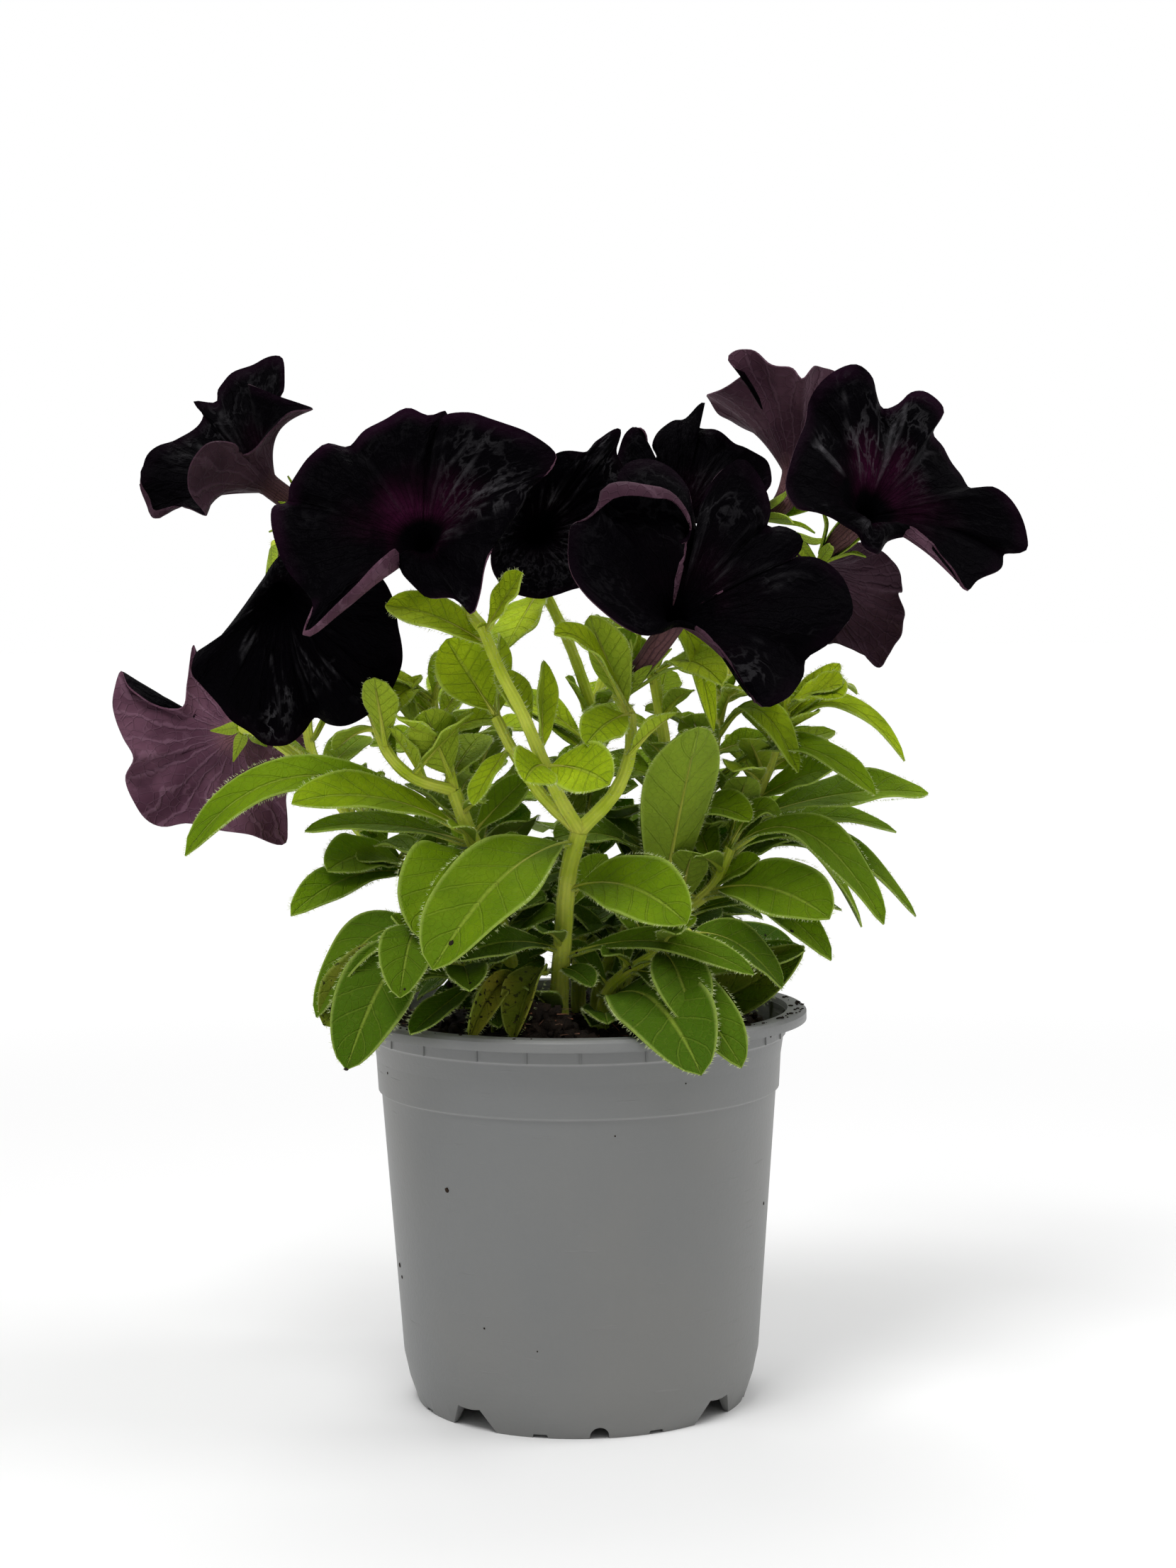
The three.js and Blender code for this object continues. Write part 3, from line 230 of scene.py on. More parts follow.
# Shoots: stems as (radius at the root, at the tip, route), leaves as (stem, place along it, tip, width,
# rise of the arch, roll, crook), rows of leaves set round a stem by a rule as (stem, first place, last
# place, number, first direction, reach, drop), blooms as (name, stem, points on the way), more leaves, some
# of them withered, as (root, tip, width, rise, roll, cup, dryness), and how thickly small leaves fill it out
SHOOTS = {
    "shoot_front": {
        "stems": (
            (2.4, 2.1, ((-5, -22, 96), (-5, -22, 118), (-4, -26, 132), (-2, -34, 153), (1, -38, 164))),
            (1.7, 1.3, ((1, -38, 164), (-9, -42, 174), (-16, -44, 185), (-21, -42, 195))),
            (1.8, 1.4, ((1, -38, 164), (11, -40, 175), (15, -39, 186), (15, -36, 195))),
            (1.8, 1.3, ((1, -38, 164), (-4, -44, 173), (-7, -48, 180), (-14, -54, 197), (-19, -56, 207),
                        (-24, -54, 219))),
        ),
        "leaves": (
            (0, 0.95, (-37, -72, 131), 27, 16, 0),
            (0, 0.74, (29, -61, 141), 20, 12, 25),
            (0, 0.45, (49, -45, 126), 10, 14, 10),
            (0, 0.48, (-33, -54, 131), 13, 8, -10),
            (0, 0.5, (-9, -44, 137), 8, 4, 0),
            (0, 0.4, (4, -41, 122), 8, 4, 0),
            (1, 1, (-34, -42, 220), 17, 0, -50),
            (1, 0.98, (-20, -33, 221), 13, 0, 75),
            (2, 1, (3, -57, 188), 12, 4, -20),
            (2, 1, (-5, -50, 217), 10, 14, -20),
            (2, 1, (8, -43, 222), 14, 0, 60),
            (3, 0.35, (-13, -66, 179), 14, 4, -35),
            (3, 0.35, (9, -66, 178), 16, 4, 30),
            (3, 0.4, (-8, -44, 214), 12, 0, 70),
            (3, 0.97, (-13, -61, 233), 10, 2, 40),
        ),
        "blooms": (("bloom_front_right", 2, ()), ("bloom_front_left", 3, ((-28, -46, 224),))),
        "more": (
            ((-20, -53, 212), (-50, -46, 225), 12, 6, -20, 0.3, 0),
            ((-17, -42, 187), (-27, -52, 172), 9, 3, 20, 0.3, 0),
            ((14, -40, 184), (27, -50, 196), 9, 3, -20, 0.3, 0),
        ),
        "filler": 0.12,
    },
    "shoot_left": {
        "stems": (
            (2.2, 1.8, ((-17, -6, 96), (-18, -8, 117), (-21, -18, 136), (-26, -28, 155), (-30, -32, 166),
                        (-33, -34, 175))),
            (1.5, 1.3, ((-33, -34, 175), (-44, -38, 179), (-50, -38, 185), (-55, -30, 196))),
            (1.4, 1.1, ((-33, -34, 175), (-35, -32, 184), (-38, -28, 194), (-39, -25, 202))),
        ),
        "leaves": (
            (0, 0.86, (-106, -35, 158), 13, 38, -20, 0.66),
            (0, 0.84, (-75, -52, 173), 16, 12, -10),
            (0, 0.8, (-74, -30, 164), 10, 8, 0),
            (0, 0.74, (-40, -60, 137), 24, 20, 0),
            (2, 0.1, (-40, -46, 197), 15, 0, 60),
            (2, 0.9, (-52, -38, 198), 11, 12, 0),
            (2, 0.3, (-51, -24, 201), 17, 0, 60),
            (1, 0.85, (-66, -28, 186), 9, 4, 30),
            (0, 0.66, (-56, -20, 159), 14, 6, 20),
        ),
        "rows": ((0, 0.35, 0.6, 2, 150, 28, -6), (2, 0.6, 1, 3, 60, 19, 10)),
        "blooms": (("bloom_low_left", 1, ((-63, -18, 215), (-73, -2, 235), (-80, 2, 243))),),
    },
    "shoot_far_left": {
        "stems": (
            (2.1, 1.5, ((-20, 2, 96), (-21, 0, 116), (-30, -2, 135), (-42, -2, 146), (-58, 0, 158),
                        (-71, 0, 175))),
            (1.3, 1.3, ((-71, 0, 175), (-76, 6, 186), (-78, 14, 205))),
        ),
        "leaves": (
            (0, 0.62, (-77, -40, 142), 12, 12, -15),
            (0, 0.64, (-68, -30, 153), 15, 10, -20),
            (0, 0.84, (-53, -18, 179), 9, 0, 60),
            (1, 0.6, (-70, 30, 200), 12, 8, 0),
        ),
        "rows": ((0, 0.45, 0.75, 3, 95, 32, -4),),
        "more": (((-69, 0, 172), (-77, 28, 170), 13, 12, 0, 0.24, 0),),
        "blooms": (
            ("bloom_far_left", 0, ((-77, -8, 182), (-84, -19, 189), (-90, -21, 192))),
            ("bloom_top_left", 1, ((-72, 18, 225), (-64, 13, 242))),
        ),
    },
    "shoot_low_left": {
        "stems": ((1.8, 1.3, ((-23, -16, 98), (-25, -20, 117), (-37, -38, 131), (-43, -45, 139))),),
        "leaves": (
            (0, 0.9, (-61, -58, 103), 21, 16, -15),
            (0, 0.95, (-46, -66, 127), 15, 14, 0),
            (0, 0.8, (-70, -45, 115), 17, 28, 0),
            (0, 0.6, (-28, -62, 124), 11, 6, 0),
            (0, 0.45, (-44, -57, 112), 9, 2, 0),
            (0, 0.4, (-21, -47, 112), 10, 4, 0),
            (0, 0.35, (-54, -20, 118), 15, 14, 0),
        ),
        "more": (
            ((-44, -44, 138), (-68, -46, 113), 17, 2, -30, 0.3, 0.75),
            ((-8, -27, 124), (-17, -50, 109), 11, 13, 20, 0.7, 0.8),
            ((-14, -27, 120), (-29, -51, 109), 7, 15, -30, 0.9, 1),
        ),
    },
    "shoot_low_right": {
        "stems": ((1.8, 1.3, ((7, -17, 98), (8, -20, 117), (22, -32, 130), (31, -36, 136))),),
        "leaves": (
            (0, 0.3, (32, -72, 103), 25, 22, 10),
            (0, 0.8, (31, -57, 122), 16, 10, 0),
            (0, 0.95, (48, -46, 120), 17, 12, 0),
            (0, 0.55, (43, -61, 103), 17, 16, 0),
            (0, 0.2, (8, -48, 113), 12, 6, 0),
        ),
        "more": (((14, -8, 108), (63, -20, 130), 15, -10, 50, 0.5, 0.45),),
    },
    "shoot_right": {
        "stems": ((2.1, 1.4, ((11, -4, 96), (12, -5, 116), (25, -10, 135), (38, -12, 146), (43, -14, 157))),),
        "leaves": (
            (0, 0.55, (33, -46, 192), 22, 8, 0),
            (0, 0.97, (84, -30, 137), 15, 32, 0),
            (0, 0.93, (81, 0, 133), 16, 34, 0),
            (0, 0.8, (68, -42, 140), 21, 10, 15),
            (0, 0.76, (69, -36, 128), 12, 16, 0),
            (0, 1, (60, -8, 160), 10, 18, 0),
            (0, 0.4, (63, -22, 129), 16, -4, 0),
            (0, 0.6, (77, 18, 136), 10, 12, 0),
        ),
    },
    "shoot_far_right": {
        "stems": (
            (2.2, 1.5, ((20, 6, 96), (21, 5, 115), (28, 5, 134), (37, 6, 147), (46, 6, 160), (53, 5, 174),
                        (58, 4, 188), (61, 2, 201))),
        ),
        "leaves": (
            (0, 0.86, (94, 5, 180), 10, 28, 0, 0.45),
            (0, 0.94, (77, -5, 208), 13, 4, 10),
            (0, 0.95, (75, -12, 199), 14, 6, 10),
            (0, 0.93, (82, 20, 199), 8, 14, 0),
            (0, 0.78, (74, 15, 184), 16, 4, 20),
            (0, 0.64, (102, 15, 170), 17, 8, 0),
            (0, 0.56, (94, 26, 158), 11, 14, 0),
            (0, 0.5, (69, 34, 158), 12, 12, 0),
            (0, 0.45, (99, 8, 134), 15, 36, 0),
        ),
        "rows": ((0, 0.6, 0.9, 3, 110, 28, 4),),
        "blooms": (
            ("bloom_right", 0, ((65, 5, 215), (70, 9, 229))),
            ("bloom_low_right", 0, ((57, -2, 222), (57, 0, 238))),
        ),
    },
    "shoot_middle": {
        "stems": (
            (2, 1.4, ((6, 9, 96), (6, 8, 115), (15, 6, 134), (23, 0, 157), (26, -8, 175), (25, -12, 186),
                      (22, -15, 206))),
        ),
        "leaves": (
            (0, 1, (40, -32, 203), 14, 10, 0),
            (0, 0.99, (38, -24, 194), 9, 42, 0),
            (0, 1, (6, -4, 222), 12, 4, 30),
            (0, 0.72, (6, -14, 180), 15, 4, 0),
            (0, 0.6, (48, -22, 165), 15, 10, 0),
            (0, 0.52, (-6, -14, 160), 16, 8, 0),
            (0, 0.4, (12, -22, 140), 14, 8, 0),
        ),
        "rows": ((0, 0.3, 0.45, 2, 230, 26, 2),),
    },
    "shoot_back_right": {
        "stems": (
            (2.1, 1.4, ((15, 19, 96), (16, 18, 114), (26, 18, 132), (35, 16, 155), (38, 12, 174),
                        (40, 8, 187), (43, 6, 203))),
        ),
        "leaves": (
            (0, 0.84, (62, -14, 178), 10, 28, 0),
            (0, 0.72, (87, -16, 160), 11, 26, 0),
            (0, 0.95, (52, -14, 200), 12, 6, 0),
        ),
        "rows": ((0, 0.35, 0.95, 6, 20, 30, 0),),
        "blooms": (("bloom_top_right", 0, ((45, 10, 219), (50, 16, 236))),),
    },
    "shoot_back": {
        "stems": ((2.1, 1.4, ((0, 24, 96), (0, 25, 114), (1, 32, 140), (3, 38, 168), (5, 37, 195))),),
        "leaves": ((0, 0.62, (-10, 12, 178), 15, 8, 0), (0, 0.8, (14, 14, 196), 14, 6, 0)),
        "rows": ((0, 0.3, 0.98, 8, 60, 38, 2),),
        "more": (
            ((-9, 15, 231), (-19, -16, 213), 15, 2, 20, 0.2, 0),
            ((3, 37, 172), (-17, 6, 181), 15, 4, 10, 0.24, 0),
            ((2, 35, 155), (21, 4, 168), 16, 3, -10, 0.24, 0),
            ((4, 37, 186), (13, 6, 190), 13, 3, 0, 0.24, 0),
        ),
        "blooms": (
            ("bloom_back_middle", 0, ((13, 38, 214),)),
            ("bloom_middle", 0, ((-2, 28, 215), (-10, 18, 232))),
        ),
    },
    "shoot_back_left": {
        "stems": (
            (2.1, 1.3, ((-15, 17, 96), (-16, 19, 114), (-24, 30, 138), (-32, 38, 165), (-36, 38, 192))),
        ),
        "leaves": ((0, 0.5, (-14, 2, 164), 15, 8, 0), (0, 0.75, (-22, 8, 190), 15, 6, 0)),
        "rows": ((0, 0.3, 1, 9, 82, 36, 0),),
        "more": (
            ((-31, 37, 160), (-24, 2, 171), 13, 4, 0, 0.24, 0),
            ((-35, 38, 185), (-28, 6, 196), 12, 3, 0, 0.24, 0),
        ),
    },
    "shoot_far_back": {
        "stems": ((2, 1.3, ((28, 28, 96), (30, 30, 114), (37, 44, 132), (42, 55, 156))),),
        "leaves": (),
        "rows": ((0, 0.35, 1, 6, 20, 37, 2),),
    },
}

# Leaves: how far a blade leans over towards its tip's side, in degrees, how much it is cupped, half the
# width of its stalk and its tip, the pairs of veins and their slant, how deep it is quilted between them,
# and the groove over its rib
LEAF_LEAN = 28
LEAF_CUP = 0.24
STALK_HALF = 0.8
TIP_HALF = 0.12
VEINS = 6.5
VEIN_SLANT = 1.6
QUILT_DEPTH = 0.011
GROOVE_DEPTH = 0.35
GROOVE_WIDTH = 0.13
# A midrib: how far along the leaf it goes, and its radius and drop below the blade along it
RIB_REACH = 0.86
RIB_RADIUS = ((0, 0), (0.001, 1), (0.12, 0.95), (0.3, 0.62), (0.999, 0.14), (1, 0))
RIB_DROP = ((0, 0), (0.15, 0.35), (1, 0.5))
# Leaves in a row: how much shorter and how much higher the last one is, how far every second one drops,
# their width for their length, and the rises of their arches in turn
ROW_SHORTENING = 0.3
ROW_LIFT = 14
ROW_STAGGER = 6
ROW_WIDTH = 0.48
ROW_ARCHES = (9, 5, 1)
# A leaf ages from new to older between these heights, which also paints light on the high leaves and shade on
# the low ones, and gets painted shade within a radius of the pot's axis
YOUNG_ABOVE = 205
OLD_BELOW = 110
INNER_RADIUS = 45
PAINTED_INNER_SHADE = 0.4
# Leaves wider than this get the finer mesh
LARGE_LEAF = 13
# Small leaves: the length of stem that takes the full number, the height where the soil is cleared, and
# how many stand round the foot of a shoot, fewer where the foot is in front
FILLED_LENGTH = 90
SOIL_CLEAR = 112
FOOT_LEAVES = 7
FRONT_FEET = -12
FRONT_FOOT_LEAVES = 2
HAIR_RADIUS = 0.07

# Stalks and calyces: how far behind the tube a stalk ends, its radius at both ends, where the cup of the
# calyx lies from the start of the tube and its radius, and the sepals round it
STALK_BACK = 4
STALK_RADIUS = (1.7, 1.55)
CUP_PLACES = (-5, -2.5, 0.5)
CUP_RADIUS = (1.3, 2.6)
CALYX_RADIUS = 2.2
SEPAL_BELOW = 1.8
SEPAL_HALF = 1.75

# Ways that a leaf of the frame is turned aside where it would meet another piece, as (lift of its tip,
# swing, roll)
TURNS = (
    (0, 0, 0), (4, 0, 0), (-4, 0, 0), (0, 5, 0), (0, -5, 0), (7, 4, 0), (7, -4, 0), (-6, 5, 0), (-6, -5, 0),
    (11, 0, 0), (-9, 0, 0), (0, 10, 0), (0, -10, 0), (12, 9, 0), (12, -9, 0), (-10, 10, 0), (-10, -10, 0),
    (4, 0, 25), (4, 0, -25), (0, 16, 0), (0, -16, 0), (16, 0, 0), (18, 14, 0), (18, -14, 0), (-14, 0, 0),
)

# The pot: its profile as (radius, height), the outer wall of it, and the heights of the collar's two steps,
# along which pale lines of painted highlight run
POT_PROFILE = (
    (0, 5.6), (45.1, 5.6), (45.4, 0), (46.9, 0), (49.3, 7), (50.8, 14), (56.2, 88.4), (57.1, 88.8),
    (57.9, 103.3), (59.1, 103.9), (59.1, 109.5), (63.7, 109.5), (63.7, 107.8), (65, 107.8), (65, 110.2),
    (64.1, 111), (59.6, 111), (56.3, 89.4), (55, 88), (48.2, 7.1), (0, 7.1),
)
POT_WALL = POT_PROFILE[5:11]
COLLAR_STEPS = (88.6, 103.6)
# What is cut from the foot of the wall, as outlines of (across, height): an arch in the middle of each foot,
# a nick beside it, and the gap between two feet
ARCH = ((-2.6, -1), *((-2.6 * math.cos(i * math.pi / 10), 0.7 + 2.6 * math.sin(i * math.pi / 10))
                      for i in range(11)), (2.6, -1))
NICK = ((-2.6, -1), (-1.9, 1), (1.9, 1), (2.6, -1))
GAP = ((-8.5, -1), (-3.5, 6.9), (3.5, 6.9), (8.5, -1))
# Cuts of a foot as (degrees from its middle, outline, how far out they go), how far out they start, and
# where the first foot stands, in degrees
FOOT_CUTS = ((0, ARCH, 55), (-19.7, NICK, 55), (19.7, NICK, 55), (45, GAP, 48.9))
CUT_START = 40
FIRST_FOOT = 6
# Drain holes: how many, and how far from the middle
DRAIN_HOLES = 8
DRAIN_PLACE = 36
# Ribs inside the rim: their number, size as (outwards, round, up) and place as (radius, height)
RIM_RIBS = 24
RIM_RIB_SIZE = (0.9, 0.45, 5.6)
RIM_RIB_PLACE = (58.95, 106.7)
# Specks of soil on the pot as (angle, height, width), the height of those on the rim, and the height in
# metres up to which leaves have some
POT_SPECKS = (
    (-131, 67, 0.9), (-165, 40, 0.9), (-163, 37, 0.7), (-103, 25, 0.5), (-147, 101, 0.6), (-92, 101, 0.5),
    (-26, 105.8, 0.7), (-18, 105.8, 0.6), (-80, 84, 0.4), (-17, 57, 0.6), (-157, 96, 0.5), (-60, 97, 0.4),
    (-120, 30, 0.4), (70, 62, 0.7), (120, 90, 0.6), (30, 34, 0.6), (160, 77, 0.5),
)
RIM_HEIGHT = 111.1
SPECKED_BELOW = 0.15

# The soil: the height of its top by the distance from the middle, the bed's radius on the way from the
# middle of its top to the middle of its base, its height from the wall down, and the middle, height and
# reach of the heap behind the front of the rim
SOIL_TOP = ((0, 106.5), (34, 106.5), (48, 106), (57, 103.6))
BED_RADIUS = ((0, 0), (0.7, 56.8), (0.78, 54.5), (0.9, 47.8), (1, 0))
BED_HEIGHT = ((0.7, 103), (0.78, 88), (0.9, 7.5), (1, 7.5))
HEAP = (-10, -45, 13)
HEAP_REACH = (15, 7)

# The stage, in metres: lights as (name, place, size, watts), the point that they face, the light of the
# sky, and the camera, with its turn in degrees and its focal length in the photo's pixels
LIGHTS = (
    ("key", (-0.35, -0.75, 1.5), 0.6, 14), ("side", (0.9, -0.1, 1.3), 0.6, 6),
    ("back", (-0.1, 0.8, 1.5), 0.8, 7),
)
LIGHTS_AIM = Vector((0, 0, 0.18))
SKY_LIGHT = 0.42
CAMERA_PLACE = (0.0038, -0.7443, 0.2158)
CAMERA_TURN = (90 - 3.17, 0.54, 0)
FOCAL_LENGTH = 3700
PHOTO_HEIGHT = 2212


# Lines and directions

def unit(vectors):
    vectors = np.asarray(vectors, float)
    return vectors / np.maximum(np.linalg.norm(vectors, axis=-1, keepdims=True), 1e-9)


def curve(table, place):
    """Value at a place of a table of (place, value)"""
    return np.interp(place, *zip(*table))


def bezier(start, middle, end, share):
    """Points and directions on an arch from start to end that is drawn towards the middle"""
    t = np.asarray(share, float)[..., None]
    points = (1 - t) ** 2 * start + 2 * t * (1 - t) * middle + t * t * end
    return points, unit(2 * (1 - t) * (middle - start) + 2 * t * (end - middle))


def square_to(axes):
    """A direction square to each axis"""
    return unit(np.cross(np.where(np.abs(axes[..., 2:]) < 0.9, UP, RIGHT), axes))


def spin_about(vectors, axes, angle):
    """Vectors turned by an angle in radians about axes that are square to them"""
    angle = np.asarray(angle, float)[..., None] if np.ndim(angle) else angle
    return vectors * np.cos(angle) + np.cross(axes, vectors) * np.sin(angle)


def along_line(points):
    """Directions along a row of points, and side and face vectors that don't twist"""
    tangent = unit(np.gradient(points, axis=0))
    side, sides = square_to(tangent[0]), []
    for direction in tangent:
        side = unit(side - direction * (side @ direction))
        sides.append(side)
    sides = np.array(sides)
    return tangent, sides, np.cross(tangent, sides)


class Route:
    """A smooth line through given points, read by the share of its length. What stands in a point after
    its three coordinates goes along with it"""

    SAMPLES = 200

    def __init__(self, points, closed=False):
        self.points, self.closed = np.array(points, float), closed
        samples = self.SAMPLES * (4 if closed else 1)
        self.line = np.array([self.through(k / samples) for k in range(samples + 1)])
        lengths = np.linalg.norm(np.diff(self.line[:, :3], axis=0), axis=1)
        self.far = np.concatenate([[0], np.cumsum(lengths)])
        self.length = self.far[-1]

    def through(self, t):
        points, last = self.points, len(self.points) - (0 if self.closed else 1)
        i = min(int(last * t), last - 1)
        w = last * t - i
        if self.closed:
            a, b, c, d = (points[(i + k) % last] for k in (-1, 0, 1, 2))
        else:
            b, c = points[i], points[i + 1]
            a = points[i - 1] if i else 2 * b - c
            d = points[i + 2] if i + 1 < last else 2 * c - b
        ab, bc, cd = (max(np.linalg.norm((q - p)[:3]), 1e-4) ** 0.5 for p, q in ((a, b), (b, c), (c, d)))
        out = ((b - a) / ab - (c - a) / (ab + bc) + (c - b) / bc) * bc
        into = ((c - b) / bc - (d - b) / (bc + cd) + (d - c) / cd) * bc
        return b + out * w + (3 * (c - b) - 2 * out - into) * w * w + (2 * (b - c) + out + into) * w ** 3

    def at(self, share):
        far = np.asarray(share, float) * self.length
        return np.stack([np.interp(far, self.far, column) for column in self.line.T], axis=-1)


# Materials

def sum_of(operation, swapped=False):
    """Operator of Value that adds a Math node"""
    def act(self, other):
        first, second = (other, self) if swapped else (self, other)
        return self.finish.math(operation, first, second)
    return act


class Value:
    """A shader socket that can be used in sums: each sum adds a Math node"""

    def __init__(self, finish, socket):
        self.finish, self.socket = finish, socket

    __add__ = __radd__ = sum_of("ADD")
    __mul__ = __rmul__ = sum_of("MULTIPLY")
    __sub__ = sum_of("SUBTRACT")
    __rsub__ = sum_of("SUBTRACT", True)
    __truediv__ = sum_of("DIVIDE")

    def above(self, low, high):
        """0 below low, 1 above high, and smooth between"""
        return self.finish.node(
            "ShaderNodeMapRange", {"interpolation_type": "SMOOTHSTEP"},
            {"Value": self, "From Min": low, "From Max": high})

    def sine(self):
        return self.finish.math("SINE", self)

    def size(self):
        """The value without its sign"""
        return self.finish.math("ABSOLUTE", self)


class Finish:
    """A material's nodes around its Principled shader"""

    def __init__(self, name, sockets):
        self.material = bpy.data.materials.new(name)
        self.material.use_nodes = True
        self.tree = self.material.node_tree
        self.shader = self.tree.nodes["Principled BSDF"]
        self.set(sockets)

    def feed(self, socket, value):
        if isinstance(value, Value):
            self.tree.links.new(value.socket, socket)
        elif socket.type == "RGBA" and len(value) == 3:
            socket.default_value = (*value, 1)
        else:
            socket.default_value = value

    def set(self, sockets):
        for name, value in sockets.items():
            self.feed(self.shader.inputs[name], value)

    def node(self, kind, settings=None, inputs=None, output=0):
        made = self.tree.nodes.new(kind)
        for setting, value in (settings or {}).items():
            if setting == "stops":
                elements = made.color_ramp.elements
                elements.remove(elements[1])
                elements[0].position, elements[0].color = value[0][0], (*value[0][1], 1)
                for place, color in value[1:]:
                    elements.new(place).color = (*color, 1)
            else:
                setattr(made, setting, value)
        for name, value in (inputs or {}).items():
            self.feed(made.inputs[name], value)
        return Value(self, made.outputs[output])

    def math(self, operation, first, second=0.0):
        return self.node("ShaderNodeMath", {"operation": operation}, {0: first, 1: second})

    def mix(self, share, first, second):
        return self.node("ShaderNodeMix", {"data_type": "RGBA"}, {0: share, 6: first, 7: second}, 2)

    def noise(self, place, scale, detail=3.0, roughness=0.5):
        return self.node("ShaderNodeTexNoise", {}, {
            "Vector": place, "Scale": scale, "Detail": detail, "Roughness": roughness})

    def cells(self, place, scale):
        """How far each spot is from the edges of small cells"""
        return self.node("ShaderNodeTexVoronoi", {"feature": "DISTANCE_TO_EDGE"}, {
            "Vector": place, "Scale": scale})

    def attribute(self, name):
        return self.node("ShaderNodeAttribute", {"attribute_name": name}, {}, "Fac")

    def bump(self, height, distance, strength=1.0):
        self.set({"Normal": self.node("ShaderNodeBump", {}, {
            "Height": height, "Distance": distance, "Strength": strength})})

    def own_place(self):
        return self.node("ShaderNodeTexCoord", {}, {}, "Object")

    def own_map(self):
        """Across and along a leaf, petal or stem, each from 0 to 1"""
        place = self.node("ShaderNodeUVMap", {"uv_map": "UVMap"})
        split = self.tree.nodes.new("ShaderNodeSeparateXYZ")
        self.feed(split.inputs[0], place)
        return Value(self, split.outputs[0]), Value(self, split.outputs[1])


def petal_inside(looks):
    finish = Finish("petal_inside", {
        "Specular IOR Level": 0.012, "Sheen Weight": 0.001, "Sheen Roughness": 0.3})
    across, along = finish.own_map()
    place = finish.own_place()
    limb = (along - TUBE_SHARE) / (1 - TUBE_SHARE)
    cloud = finish.noise(place, 45.0, 4.0)
    strength = finish.attribute("glow")
    ring = limb.above(0.06, 0.18) * (1 - limb.above(0.12, 0.6))
    glow = ring * cloud.above(0.34, 0.62) * strength
    edge = limb.above(0.84, 1.0) * cloud.above(0.35, 0.6) * (0.12 + strength * 0.6)
    wander = finish.noise(place, 160.0, 2.0)
    comb = (across * TURN * 60 + wander * 9).sine()
    veins = comb.above(0.72, 1.0) * limb.above(-0.1, 0.1) * (1 - limb.above(0.75, 1.0))
    color = finish.mix(glow, looks.inside, looks.throat)
    color = finish.mix(edge, color, looks.margin)
    # Painted highlight: grey wisps and lines along the crests of the creases stand in for the velvet sheen on
    # the folds, as strong as the bloom's lines value
    streak = finish.noise(finish.node("ShaderNodeCombineXYZ", {}, {
        "X": across * 30 + cloud * 3, "Y": along * 6 + cloud * 2}), 1.0, 4.0, 0.55)
    crest = finish.attribute("crest").above(0.3, 1.0) * cloud.above(0.4, 0.6)
    wisps = (1 - (streak * 2 - 1).size()).above(0.9, 1.0) * cloud.above(0.46, 0.62) * 0.6
    painted_highlight = (wisps + crest * (0.4 + streak)) * limb.above(0.06, 0.3) * (1 - limb.above(0.84, 1.0))
    color = finish.mix(veins * 0.004 + painted_highlight * finish.attribute("lines") * 0.26, color, looks.sheen)
    finish.set({"Base Color": color, "Roughness": 0.36 + cloud * 0.3})
    fine = finish.noise(place, 2200.0, 2.0)
    crumple = finish.noise(place, 210.0, 4.0, 0.6)
    finish.bump(veins * 0.4 + cloud * 1.5 + crumple * 1.2 + streak * 3 + fine * 0.2, 0.0007)
    return finish.material


def petal_outside(looks):
    finish = Finish("petal_outside", {
        "Roughness": 0.6, "Specular IOR Level": 0.05, "Sheen Weight": 0.01, "Sheen Roughness": 0.4,
        "Sheen Tint": (0.8, 0.7, 0.8)})
    across, along = finish.own_map()
    place = finish.own_place()
    cloud = finish.noise(place, 60.0, 4.0)
    wander = finish.noise(place, 120.0, 3.0)
    comb = (across * TURN * 25 + wander * 10).sine()
    web = finish.cells(place, 330.0)
    tube = 1 - along.above(0.2, 0.42)
    veins = comb.above(0.55, 1.0)
    net = 1 - web.above(0.0, 0.09)
    color = finish.mix(cloud.above(0.3, 0.7), looks.outside_dark, looks.outside)
    color = finish.mix(veins * 0.25 + net * 0.12, color, looks.vein)
    color = finish.mix(tube * 0.55, color, looks.tube)
    color = finish.mix(tube * veins * 0.5, color, looks.outside_dark)
    color = finish.mix(finish.attribute("pallor"), looks.inside, color)
    finish.set({"Base Color": color})
    finish.bump(veins * 0.8 + net * 0.5 + cloud, 0.0004)
    return finish.material


